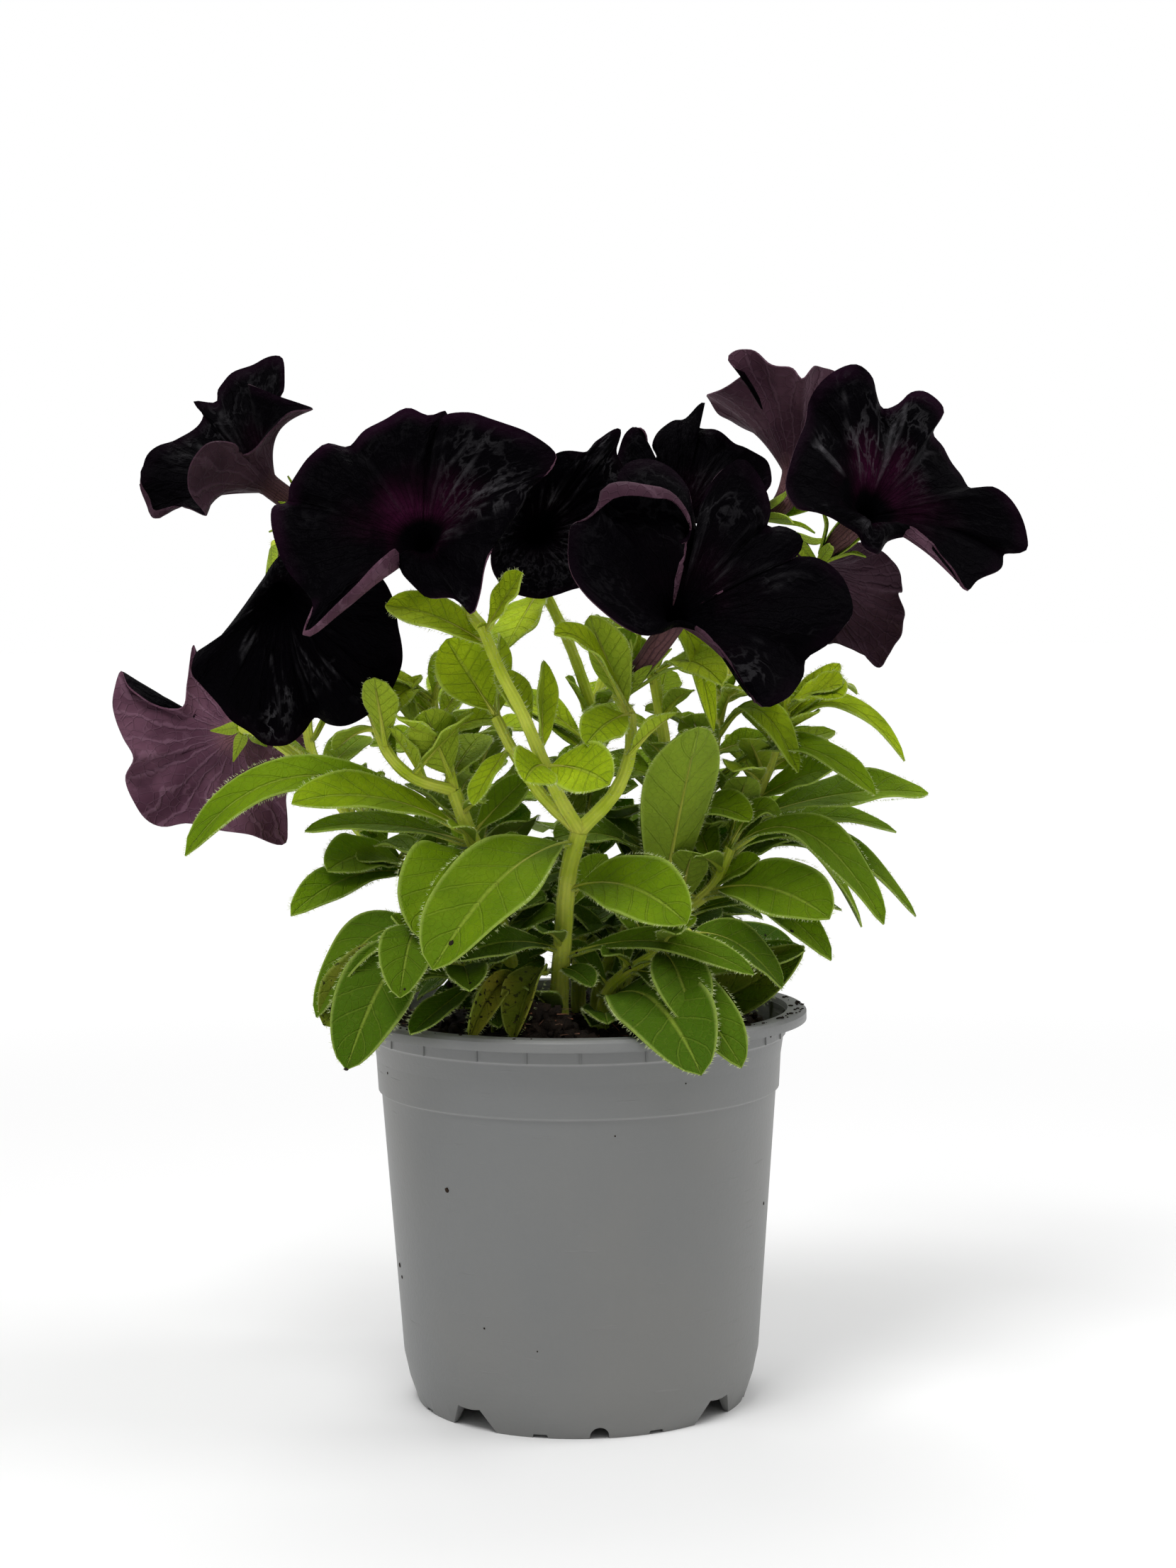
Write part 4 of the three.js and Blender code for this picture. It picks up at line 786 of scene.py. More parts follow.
def leaf_green(looks, name, underside=False):
    finish = Finish(name, {
        "Specular IOR Level": 0.05, "Sheen Weight": 0.01, "Sheen Roughness": 0.45,
        "Sheen Tint": (0.9, 1.0, 0.6), "Subsurface Weight": 0.12,
        "Subsurface Radius": (0.5, 1.0, 0.25), "Subsurface Scale": 0.0025})
    across, along = finish.own_map()
    place = finish.own_place()
    age = finish.attribute("age")
    off = (across * 2 - 1).size()
    wander = finish.noise(place, 90.0, 3.0)
    rib = 1 - off.above(0.02, 0.09)
    comb = ((along * 7.5 - off * (1.7 - along * 0.5) + wander * 0.35) * TURN).sine()
    ribs = comb.above(0.9, 1.0) * (1 - off.above(0.8, 1.0))
    web = finish.cells(place, 480.0)
    net = 1 - web.above(0.0, 0.1)
    margin = off.above(0.88, 1.0)
    cloud = finish.noise(place, 55.0, 4.0)
    # Paler high up and darker low down and near the axis: partly the leaf's age, partly painted light on top
    # and painted shade below and inside
    color = finish.mix(age.above(0.0, 0.5), looks.young_and_lit, looks.grown)
    color = finish.mix(age.above(0.5, 1.0), color, looks.old_and_shaded)
    color = finish.mix(cloud.above(0.35, 0.7) * 0.5, color, looks.shade)
    color = finish.mix(rib * 0.35 + ribs * 0.1 + net * 0.05, color, looks.rib)
    color = finish.mix(margin * 0.5, color, looks.margin)
    dry = finish.attribute("dry")
    color = finish.mix(dry * (0.35 + cloud.above(0.4, 0.6) * 0.6), color, looks.withered)
    color = finish.mix(dry * finish.noise(place, 700.0, 2.0).above(0.6, 0.66), color, looks.speck)
    if underside:
        color = finish.mix(0.4, color, looks.underside)
    grain = finish.noise(place, 1500.0, 2.0)
    finish.set({"Base Color": color, "Roughness": 0.45 + cloud * 0.25})
    relief = 1 if underside else -1
    finish.bump((rib + ribs * 0.7 + net * 0.25) * relief + grain * 0.4 + cloud, 0.0005)
    return finish.material


def stem_green(looks):
    finish = Finish("stem_green", {
        "Roughness": 0.5, "Specular IOR Level": 0.12, "Sheen Weight": 0.08, "Sheen Roughness": 0.4,
        "Sheen Tint": (0.9, 1.0, 0.7), "Subsurface Weight": 0.3,
        "Subsurface Radius": (0.6, 1.0, 0.3), "Subsurface Scale": 0.002})
    across, along = finish.own_map()
    place = finish.own_place()
    cloud = finish.noise(place, 70.0, 4.0)
    lines = (across * TURN * 9 + cloud * 4).sine()
    color = finish.mix(cloud.above(0.3, 0.75), looks.stem, looks.young_and_lit)
    color = finish.mix(lines.above(0.5, 1.0) * 0.3, color, looks.rib)
    # Darker lower down, by the value that carries age and painted shade
    color = finish.mix(finish.attribute("age") * 0.4, color, looks.grown)
    finish.set({"Base Color": color})
    finish.bump(lines * 0.3 + finish.noise(place, 1200.0, 2.0) * 0.6, 0.0003)
    return finish.material


def hair_white(looks):
    finish = Finish("hair_white", {
        "Roughness": 0.4, "Subsurface Weight": 0.4, "Subsurface Radius": (1, 1, 0.8),
        "Subsurface Scale": 0.0005})
    tone = finish.noise(finish.own_place(), 80.0, 2.0)
    finish.set({"Base Color": finish.mix(tone, looks.hair, looks.rib)})
    return finish.material


def pot_plastic(looks):
    finish = Finish("pot_plastic", {"Specular IOR Level": 0.5})
    place = finish.own_place()
    cloud = finish.noise(place, 14.0, 4.0)
    grain = finish.noise(place, 900.0, 3.0)
    scuff = finish.noise(finish.node("ShaderNodeMapping", {}, {
        "Vector": place, "Scale": (60.0, 60.0, 900.0)}), 1.0, 2.0).above(0.66, 0.8)
    color = finish.mix(cloud.above(0.3, 0.7), looks.grey, looks.grey_warm)
    # Pale lines of painted highlight along the collar's two steps, mixed with the same pale grey as the real
    # scuffs
    height = finish.node("ShaderNodeSeparateXYZ", {}, {0: place}, 2)
    painted_step_highlight = sum((1 - (height - step * MM).size().above(0.0, 0.0006) for step in COLLAR_STEPS), 0.0)
    color = finish.mix(scuff * 0.16 + painted_step_highlight * 0.55, color, looks.scuff)
    finish.set({"Base Color": color, "Roughness": 0.36 + cloud * 0.16 + scuff * 0.15})
    finish.bump(cloud * 3 + grain * 0.25 + scuff * 0.3, 0.0003)
    return finish.material


def soil_brown(looks):
    finish = Finish("soil_brown", {"Specular IOR Level": 0.25})
    place = finish.own_place()
    coarse = finish.noise(place, 180.0, 5.0, 0.65)
    fine = finish.noise(place, 1400.0, 4.0, 0.7)
    color = finish.node("ShaderNodeValToRGB", {"stops": (
        (0.25, looks.wet), (0.55, looks.crumb), (0.8, looks.bark))}, {"Fac": coarse * 0.7 + fine * 0.35})
    finish.set({"Base Color": color, "Roughness": 0.7 + fine * 0.3})
    finish.bump(fine * 1.5 + coarse * 2, 0.0012)
    return finish.material


def fibre_red(looks):
    finish = Finish("fibre_red", {"Roughness": 0.75})
    tone = finish.noise(finish.own_place(), 300.0, 3.0)
    finish.set({"Base Color": finish.mix(tone.above(0.35, 0.65), looks.bark, looks.fibre)})
    return finish.material


# Making and shaping of meshes

def put_down():
    """Leaves nothing selected"""
    if bpy.context.object and bpy.context.object.mode != "OBJECT":
        bpy.ops.object.mode_set(mode="OBJECT")
    bpy.ops.object.select_all(action="DESELECT")


def take(objects):
    put_down()
    for one in objects:
        one.select_set(True)
    bpy.context.view_layer.objects.active = objects[0]
    return objects[0]


def coordinates(mesh):
    flat = np.empty(len(mesh.vertices) * 3, np.float32)
    mesh.vertices.foreach_get("co", flat)
    return flat.reshape(-1, 3).astype(float)


def primitive(add, **settings):
    """Mesh of a new primitive"""
    put_down()
    add(**settings)
    made = bpy.context.object
    bpy.ops.object.transform_apply()
    mesh = made.data
    bpy.data.objects.remove(made)
    return mesh


def sheet_blank(columns, rows):
    """Flat square of faces with its map, from which leaves, petals and stems are shaped"""
    return primitive(bpy.ops.mesh.primitive_grid_add, x_subdivisions=columns, y_subdivisions=rows, size=1)


def hair_template():
    """A three-sided spike of height 1"""
    return primitive(bpy.ops.mesh.primitive_cone_add, vertices=3, radius1=1, radius2=0, depth=1,
                     location=(0, 0, 0.5))


def crumb_template(draw):
    """One small lump with uneven corners"""
    crumb = primitive(bpy.ops.mesh.primitive_ico_sphere_add, subdivisions=1, radius=1)
    points = coordinates(crumb) * draw.uniform(0.7, 1.25, (len(crumb.vertices), 1))
    crumb.vertices.foreach_set("co", points.astype(np.float32).ravel())
    return crumb


def new_object(name, data):
    made = bpy.data.objects.new(name, data)
    bpy.context.scene.collection.objects.link(made)
    return made


def give_values(mesh, values):
    """Gives the points of a mesh named values, such as the age of a leaf"""
    for name, value in values.items():
        attribute = mesh.attributes.new(name, "FLOAT", "POINT")
        attribute.data.foreach_set("value", np.broadcast_to(value, len(mesh.vertices)).astype(np.float32))


def shaped(blank, form, **values):
    """Copy of a blank with each point at the place, in millimetres, that form gives for across, along, and
    with named values, or what they give for across, along"""
    mesh = blank.copy()
    flat = coordinates(blank)
    across, along = flat[:, 0] + 0.5, flat[:, 1] + 0.5
    mesh.vertices.foreach_set("co", (form(across, along) * MM).astype(np.float32).ravel())
    give_values(mesh, {
        name: value(across, along) if callable(value) else value for name, value in values.items()})
    return new_object("part", mesh)


def joined(name, objects):
    piece = take(objects)
    if len(objects) > 1:
        bpy.ops.object.join()
    piece.name = piece.data.name = name
    return piece


def apply(piece, kind, **settings):
    take([piece])
    modifier = piece.modifiers.new(kind.lower(), kind)
    for setting, value in settings.items():
        setattr(modifier, setting, value)
    bpy.ops.object.modifier_apply(modifier=modifier.name)


def edit(piece, operator, **settings):
    """Runs a mesh operator on the whole of a piece"""
    take([piece])
    bpy.ops.object.mode_set(mode="EDIT")
    bpy.ops.mesh.select_all(action="SELECT")
    operator(**settings)
    bpy.ops.object.mode_set(mode="OBJECT")


def merge(piece):
    edit(piece, bpy.ops.mesh.remove_doubles, threshold=2e-6)


def recalculate(piece):
    edit(piece, bpy.ops.mesh.normals_make_consistent, inside=False)


def smooth(piece, angle):
    take([piece])
    bpy.ops.object.shade_smooth_by_angle(angle=math.radians(angle))


def paint(piece, *materials):
    piece.data.materials.clear()
    for material in materials:
        piece.data.materials.append(material)


def stand(piece, slot, *nodes):
    """Gives a finished piece its body and hides the frame's nodes that it stands for. The slot is not used"""
    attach(piece, "root")
    if nodes:
        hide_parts(*nodes)


def stamped(name, template, axes, at, **values):
    """One piece with a copy of the template at each place, given as a matrix of three axes and a point"""
    points, faces = coordinates(template), [list(face.vertices) for face in template.polygons]
    count, size = len(at), len(points)
    placed = np.einsum("nij,pj->npi", axes, points) + at[:, None, :]
    corners = np.concatenate([np.array(face) for face in faces])
    loops = (corners[None, :] + size * np.arange(count)[:, None]).ravel()
    ends = np.cumsum(np.tile([len(face) for face in faces], count))
    starts = np.concatenate([[0], ends[:-1]])
    mesh = bpy.data.meshes.new(name)
    mesh.vertices.add(size * count)
    mesh.vertices.foreach_set("co", (placed * MM).astype(np.float32).ravel())
    mesh.loops.add(len(loops))
    mesh.loops.foreach_set("vertex_index", loops.astype(np.int32))
    mesh.polygons.add(len(starts))
    mesh.polygons.foreach_set("loop_start", starts.astype(np.int32))
    mesh.update(calc_edges=True)
    mesh.uv_layers.new(name="UVMap")
    give_values(mesh, values)
    return new_object(name, mesh)


def axes_from(directions, widths, lengths):
    """Axes that stand a template up along directions, as wide and as long as given"""
    directions = unit(directions)
    side = square_to(directions)
    face = np.cross(directions, side)
    return np.stack([side * widths[:, None], face * widths[:, None], directions * lengths[:, None]], axis=2)


# Blooms

def bloom_axes(bloom):
    facing = unit(bloom["facing"])
    right = unit(np.cross(UP, facing))
    return facing, right, np.cross(facing, right)


def bloom_line(bloom, share):
    """Points and directions on the middle line of a bloom's tube"""
    end = np.array(bloom["throat"]) - unit(bloom["facing"]) * THROAT_DEPTH
    middle = end - unit(bloom["facing"]) * TUBE_STRAIGHT
    return bezier(np.array(bloom["calyx"], float), middle, end, share)


def evened(values, share):
    """Values round a loop, each the mean of its neighbours within a share of the loop"""
    reach = int(len(values) * share / 2)
    return np.mean([np.roll(values, k) for k in range(-reach, reach + 1)], axis=0)


def bloom_columns(bloom, across):
    """What each point of a bloom takes from its column, from the throat to the edge"""
    facing, right, above = bloom_axes(bloom)
    shares, column = np.unique(across, return_inverse=True)
    rim = Route([(*point, 0)[:4] for point in bloom["edge"]], closed=True).at(shares[:-1])
    away = rim[:, :3] - np.array(bloom["throat"], float)
    edge = np.stack([away @ right, away @ above], axis=1)
    even = -shares[:-1] * TURN
    own = np.unwrap(np.arctan2(edge[:, 1], edge[:, 0]))
    stray = evened(own - even, STRAY_SPAN)
    turn = np.minimum.accumulate(even + stray.mean() + (stray - stray.mean()) * STRAY_KEPT)
    reach = np.hypot(*edge.T)
    notch = np.clip((evened(reach, REACH_SPAN) - reach) / reach.mean() * NOTCH_STRENGTH, 0, 1)
    roll = rim[:, 3]
    ring = THROAT_RADIUS * np.stack([np.cos(turn), np.sin(turn)], axis=1)
    way = unit(edge - ring)
    held = edge - way * np.abs(roll)[:, None]
    height = away @ facing - roll
    values = np.column_stack([turn, held, height, evened(notch, NOTCH_SPAN), roll, way, ring])
    values = np.concatenate([values, values[:1]])
    values[-1, 0] -= TURN
    return values[column].T


def towards(bloom, what):
    """How strong a look of the petals is at each point: most on one side of the bloom"""
    strength, degrees = bloom[what]

    def look(across, along):
        turn = bloom_columns(bloom, across)[0]
        near = (0.5 + 0.5 * np.cos(turn - math.radians(degrees))) ** LOOK_POWER
        return strength * (LOOK_LEAST + (1 - LOOK_LEAST) * near)

    return look


def bloom_forms(bloom, ruffle, seed):
    """Place of each point of a bloom, from the base of its tube to the edge of its petals, and how much
    each point stands on a crest of its creases"""
    facing, right, above = bloom_axes(bloom)
    throat = np.array(bloom["throat"], float)
    draw = np.random.default_rng(seed)
    phase = draw.uniform(0, TURN, 12)

    def limb_shares(along, roll):
        s = np.clip((along - TUBE_SHARE) / (1 - TUBE_SHARE), 0, 1)
        bend_at = 1 - ROLL_SHARE * np.clip(np.abs(roll) / 0.8, 0, 1)
        arc = np.clip((s - bend_at) / np.maximum(1 - bend_at, 1e-6), 0, 1) * math.radians(ROLL_TURN)
        return np.clip(s / bend_at, 0, 1), arc

    def crests(across, along):
        turn, _, _, _, notch, roll, *_ = bloom_columns(bloom, across)
        u, _ = limb_shares(along, roll)
        lines = 0.0
        for i, (number, height) in enumerate(CREASES):
            wander = 0.5 * np.sin(3 * u + phase[i + 4]) + 0.25 * np.sin(8 * u + phase[i + 5])
            crest = 1 - np.abs(np.sin(number * turn + phase[i + 7] + wander))
            lines = lines + height * crest ** CREST_POWER
        return (lines + 0.8 * notch ** 0.5) * np.sin(math.pi * u) ** 0.7

    def form(across, along):
        turn, x, y, height, notch, roll, way_x, way_y, ring_x, ring_y = bloom_columns(bloom, across)
        u, arc = limb_shares(along, roll)
        out = np.abs(roll) * np.sin(arc)
        flat_x = ring_x + (x - ring_x) * u + way_x * out
        flat_y = ring_y + (y - ring_y) * u + way_y * out
        wave = sum(high * np.sin(number * across * TURN + phase[i] + drift * u)
                   for i, (number, high, drift) in enumerate(RUFFLES))
        lift = (height * u ** LIMB_RISE - THROAT_DEPTH * (1 - u) ** LIMB_FLARE
                + (LIMB_DOME - NOTCH_DEPTH * notch) * np.sin(math.pi * u)
                + ruffle * wave * u ** 2 + bloom["crumple"] * crests(across, along)
                + roll * (1 - np.cos(arc)))
        limb = throat + flat_x[:, None] * right + flat_y[:, None] * above + lift[:, None] * facing
        t = np.clip(along / TUBE_SHARE, 0, 1)
        center, tangent = bloom_line(bloom, t)
        flutes = 1 + TUBE_FLUTES * np.cos(PETALS * turn) * np.sin(math.pi * t)
        radius = curve(TUBE_RADIUS, t) * THROAT_RADIUS * flutes
        tube_right = unit(right - tangent * (tangent @ right)[:, None])
        tube_above = np.cross(tangent, tube_right)
        tube = center + radius[:, None] * (
            tube_right * np.cos(turn)[:, None] + tube_above * np.sin(turn)[:, None])
        return np.where((along < TUBE_SHARE)[:, None], tube, limb)

    return form, crests


# Leaves

def new_leaf(root, tip, width, rise, roll, crook=0.5, **more):
    return {"root": np.array(root, float), "tip": np.array(tip, float), "width": width, "rise": rise,
            "roll": roll, "crook": crook, **more}


def leaf_line(leaf, t):
    """Points along a leaf's midrib, and the directions along it, to its side and out of its face"""
    root, tip = leaf["root"], leaf["tip"]
    middle = root + (tip - root) * leaf["crook"] + UP * leaf["rise"]
    at, tangent = bezier(root, middle, tip, t)
    heading = unit((tip - root) * (1, 1, 0))
    level = np.cross(heading, UP)
    side = unit(level - tangent * (tangent @ level)[:, None])
    side = spin_about(side, tangent, math.radians(leaf["roll"] + LEAF_LEAN * heading[0]))
    return at, tangent, side, np.cross(side, tangent)


def blade_share(t):
    """Width of a blade along it, as a share of its most"""
    inner = np.clip((t - 0.1) / 0.9, 0, 1)
    return np.sin(math.pi * inner ** 1.3).clip(0) ** 0.6


def half_width(leaf, t):
    return np.maximum(leaf["width"] / 2 * blade_share(t), np.where(t < 0.5, STALK_HALF, TIP_HALF))


def leaf_form(leaf, seed):
    """Blade of a leaf, cupped and waved along its edges, quilted between its veins, grooved on its rib"""
    draw = np.random.default_rng(seed)
    phase = draw.uniform(0, TURN, 3)
    waves = draw.uniform(1.6, 2.6)
    ruffle = draw.uniform(0.03, 0.075)

    def form(across, along):
        t = along ** 0.94
        at, _, side, face = leaf_line(leaf, t)
        u = across * 2 - 1
        off, half = np.abs(u), half_width(leaf, t)
        blade = np.clip(half / (leaf["width"] / 2), 0, 1)
        lift = half * leaf.get("cup", LEAF_CUP) * off ** 1.4
        lift += leaf["width"] * ruffle * off ** 3 * blade * np.sin(
            TURN * waves * t + phase[0] + np.where(u < 0, phase[1], 0))
        quilt = np.cos(TURN * (VEINS * t - VEIN_SLANT * off)) * np.sin(math.pi * np.clip(off, 0, 1))
        lift += QUILT_DEPTH * leaf["width"] * blade * quilt
        lift -= GROOVE_DEPTH * blade * np.exp(-(u / GROOVE_WIDTH) ** 2)
        return at + side * (half * u)[:, None] + face * lift[:, None]

    return form


def ring_form(middle, radius, side, face, across):
    """Points round a middle line, with a radius for each"""
    turn = -across * TURN
    return middle + radius[:, None] * (side * np.cos(turn)[:, None] + face * np.sin(turn)[:, None])


def rib_form(leaf):
    """Stalk of a leaf, which thins out along the underside as its midrib"""
    def form(across, along):
        at, _, side, face = leaf_line(leaf, along * RIB_REACH)
        middle = at - face * curve(RIB_DROP, along)[:, None]
        return ring_form(middle, curve(RIB_RADIUS, along), side, face, across)
    return form


def stem_form(route, start, end, bulge=0.0):
    """Round stem that thins from start to end, closed at both ends"""
    def form(across, along):
        rows = np.unique(along)
        shares = np.interp(rows, [0, rows[1], rows[-2], 1], [0, 0, 1, 1])
        _, sides, faces = along_line(route.at(np.linspace(0, 1, len(rows))))
        radius = (start + (end - start) * shares) * (1 + bulge * np.sin(shares * route.length * 0.9))
        radius[0] = radius[-1] = 0
        row = np.searchsorted(rows, along)
        return ring_form(route.at(shares)[row], radius[row], sides[row], faces[row], across)
    return form


def leaves_of(shoot):
    """Every leaf of a shoot as the frame lists them: placed ones, then those set round a stem by the rule"""
    routes = [Route(route) for _, _, route in shoot["stems"]]
    leaves = [new_leaf(routes[stem].at(place), *shape) for stem, place, *shape in shoot["leaves"]]
    for stem, first, last, number, start, reach, drop in shoot.get("rows", ()):
        for i in range(number):
            share = i / (number - 1)
            root = routes[stem].at(first + (last - first) * share)
            angle = math.radians(start + GOLDEN_ANGLE * i)
            length = reach * (1 - ROW_SHORTENING * share)
            rise = drop + ROW_LIFT * share - ROW_STAGGER * (i % 2)
            run = np.array([length * math.cos(angle), length * math.sin(angle), rise])
            leaves.append(new_leaf(root, root + run, length * ROW_WIDTH, ROW_ARCHES[i % 3], 0))
    return leaves


def turned(leaf, turn):
    lift, swing, roll = turn
    run = leaf["tip"] - leaf["root"]
    aside = unit(np.array([run[1], -run[0], 0]))
    return {**leaf, "tip": leaf["tip"] + aside * swing + UP * lift, "roll": leaf["roll"] + roll}


def tree_of(objects):
    """Search tree of some objects' meshes"""
    points, faces = [], []
    for mesh in (one.data for one in objects):
        faces += [[v + len(points) for v in face.vertices] for face in mesh.polygons]
        points += [v.co.copy() for v in mesh.vertices]
    return BVHTree.FromPolygons(points, faces)


def as_in_frame(leaf, tree):
    """The leaf turned aside as the frame's own leaf is"""
    t = np.array([0.3, 0.45, 0.6, 0.75, 0.9, 1.0])
    wide = slice(2, 4)

    def misfit(turn):
        guess = turned(leaf, turn)
        at, _, side, face = leaf_line(guess, t)
        half = guess["width"] / 2 * blade_share(t) * 0.8
        off = (side + face * 0.2)[wide] * half[wide, None]
        return sum(tree.find_nearest(Vector(point * MM))[3] for point in (*at, *(at[wide] + off)))

    return turned(leaf, min(TURNS, key=misfit))


def age_and_shade_of(leaf):
    """0 for a pale new leaf high up, 1 for a dark one near the soil or deep inside the plant: the paleness
    is partly new growth and partly painted light, the darkness low down partly older leaves and partly
    painted shade, and the darkness deep inside is painted shade
    """
    middle = (leaf["root"] + leaf["tip"]) / 2
    inside = np.clip(1 - np.hypot(*middle[:2]) / INNER_RADIUS, 0, 1)
    return float(np.clip((YOUNG_ABOVE - middle[2]) / (YOUNG_ABOVE - OLD_BELOW) + PAINTED_INNER_SHADE * inside, 0, 1))


# Settings

def color(name, text, value):
    return FloatVectorProperty(
        name=name, description=text, subtype="COLOR", size=3, min=0, max=1, default=value)


def metres(name, text, value, least, most):
    return FloatProperty(name=name, description=text, default=value, min=least, max=most, unit="LENGTH")


def whole(name, text, value, least, most):
    return IntProperty(name=name, description=text, default=value, min=least, max=most)


class PetuniaBloomSettings(PropertyGroup):
    thickness: metres("Petal thickness", "Thickness of a petal", 0.0005, 0.0002, 0.0008)
    ruffle: metres("Ruffle", "How far the petals' edges wave", 0.0007, 0, 0.002)
    inside: color("Inside", "Velvety face of the petals", (0.0007, 0.0004, 0.0010))
    throat: color("Throat", "Glow round the throat", (0.030, 0.0035, 0.017))
    margin: color("Margin", "Thin edge of the petals", (0.016, 0.004, 0.013))
    # Grey of the painted highlight on the folds of the petals' face, also a faint tint of the veins
    sheen: color("Folds", "Grey lines on the folds of the petals' face", (0.125, 0.12, 0.13))
    outside: color("Outside", "Back of the petals", (0.145, 0.066, 0.100))
    outside_dark: color("Outside, dark", "Darker clouds on the back of the petals", (0.066, 0.026, 0.044))
    vein: color("Veins outside", "Pale veins on the back of the petals", (0.27, 0.15, 0.21))
    tube: color("Tube", "Tube of the bloom", (0.32, 0.15, 0.14))


class PetuniaLeafSettings(PropertyGroup):
    thickness: metres("Leaf thickness", "Thickness of a leaf's blade", 0.0005, 0.0002, 0.0008)
    hair_length: metres("Hair length", "Length of the fine hairs", 0.0013, 0, 0.003)
    filler: whole("Small leaves", "Most small leaves that fill out one shoot", 18, 0, 60)
    # The leaf greens also carry painted light on the high leaves and painted shade on the low and inner ones
    young_and_lit: color("Young leaf", "Colour of the youngest leaves", (0.40, 0.52, 0.010))
    grown: color("Grown leaf", "Colour of grown leaves", (0.155, 0.25, 0.003))
    old_and_shaded: color("Old leaf", "Colour of the low old leaves", (0.045, 0.096, 0.003))
    shade: color("Mottling", "Darker patches of a leaf", (0.055, 0.115, 0.003))
    rib: color("Ribs", "Pale ribs of a leaf", (0.36, 0.46, 0.06))
    margin: color("Margin", "Pale downy edge of a leaf", (0.40, 0.50, 0.11))
    underside: color("Underside", "Paler back of a leaf", (0.28, 0.36, 0.05))
    withered: color("Withered", "Yellow of a withering leaf", (0.22, 0.20, 0.02))
    speck: color("Specks", "Dark specks of a withering leaf", (0.012, 0.010, 0.006))
    stem: color("Stem", "Stems and stalks", (0.64, 0.68, 0.10))
    hair: color("Hairs", "Fine hairs", (0.70, 0.78, 0.40))


class PetuniaPotSettings(PropertyGroup):
    sides: whole("Sides", "Sides of the round pot", 144, 48, 192)
    grey: color("Grey", "Cool grey of the plastic", (0.172, 0.177, 0.176))
    grey_warm: color("Warm grey", "Warmer patches of the plastic", (0.192, 0.192, 0.184))
    # Pale grey of the real scuffs, and of the painted highlight along the collar's steps
    scuff: color("Scuffs", "Pale rubbed marks", (0.33, 0.33, 0.325))


class PetuniaSoilSettings(PropertyGroup):
    crumbs: whole("Crumbs", "Crumbs lying on the soil", 1400, 0, 3000)
    heap: whole("Heap", "How many crumbs lie heaped in front", 560, 0, 900)
    fibres: whole("Fibres", "Bark fibres lying on the soil", 160, 0, 600)
    wet: color("Wet soil", "Darkest soil", (0.006, 0.004, 0.003))
    crumb: color("Crumb", "Middle tone of the soil", (0.025, 0.015, 0.009))
    bark: color("Bark", "Paler bark in the soil", (0.09, 0.05, 0.028))
    fibre: color("Fibre", "Reddish fibres", (0.22, 0.075, 0.035))


# The pot

class PETUNIA_OT_pot(Operator):
    """Make the pot: its profile is spun round, and the feet and drain holes are cut out"""

    bl_idname = "petunia.pot"
    bl_label = "Pot"

    def execute(self, context):
        looks = context.scene.petunia_pot
        put_down()
        bpy.ops.mesh.primitive_plane_add(size=1)
        pot = bpy.context.object
        pot.data.clear_geometry()
        pot.data.from_pydata([(r * MM, 0, z * MM) for r, z in POT_PROFILE], [
            (i, i + 1) for i in range(len(POT_PROFILE) - 1)], [])
        edit(pot, bpy.ops.mesh.spin, steps=looks.sides, angle=TURN, center=(0, 0, 0), axis=(0, 0, 1))
        merge(pot)
        recalculate(pot)
        cutters = [
            radial_cutter(outline, FIRST_FOOT + foot * 90 + aside, end)
            for foot in range(4) for aside, outline, end in FOOT_CUTS]
        cutters += [drain_cutter((i + 0.5) * TURN / DRAIN_HOLES) for i in range(DRAIN_HOLES)]
        cutter = joined("cutters", cutters)
        recalculate(cutter)
        apply(pot, "BOOLEAN", operation="DIFFERENCE", solver="EXACT", object=cutter)
        bpy.data.objects.remove(cutter)
        apply(pot, "BEVEL", width=0.35 * MM, segments=2, limit_method="ANGLE",
              angle_limit=math.radians(28))
        piece = joined("nursery_pot", [pot, pot_ribs()])
        paint(piece, pot_plastic(looks))
        stand(piece, "pot", "pot")
        smooth(piece, 35)
        return {"FINISHED"}


def radial_cutter(outline, degrees, end):
    """Block across the wall at an angle round the pot, from inside it out to an end, with its outline in
    (across, height)"""
    put_down()
    bpy.ops.mesh.primitive_plane_add(size=1)
    block = bpy.context.object
    block.data.clear_geometry()
    block.data.from_pydata(
        [(CUT_START * MM, x * MM, z * MM) for x, z in outline], [], [list(range(len(outline)))])
    edit(block, bpy.ops.mesh.extrude_region_move,
         TRANSFORM_OT_translate={"value": ((end - CUT_START) * MM, 0, 0)})
    block.rotation_euler[2] = math.radians(degrees)
    bpy.ops.object.transform_apply()
    return block


def drain_cutter(angle):
    put_down()
    across = DRAIN_PLACE * MM
    bpy.ops.mesh.primitive_cylinder_add(
        vertices=24, radius=4 * MM, depth=8 * MM,
        location=(across * math.cos(angle), across * math.sin(angle), 6 * MM))
    bpy.ops.object.transform_apply()
    return bpy.context.object


def pot_ribs():
    """Thin ribs that stay the turned-down rim from inside"""
    template = primitive(bpy.ops.mesh.primitive_cube_add, size=1)
    draw = np.random.default_rng(7)
    angles = (np.arange(RIM_RIBS) + draw.uniform(-0.2, 0.2, RIM_RIBS)) * TURN / RIM_RIBS
    out = np.stack([np.cos(angles), np.sin(angles), 0 * angles], axis=1)
    along = np.cross(UP, out)
    thick, wide, high = RIM_RIB_SIZE
    axes = np.stack([out * thick, along * wide, np.broadcast_to(UP * high, out.shape)], axis=2)
    return stamped("ribs", template, axes, out * RIM_RIB_PLACE[0] + UP * RIM_RIB_PLACE[1])


# The soil

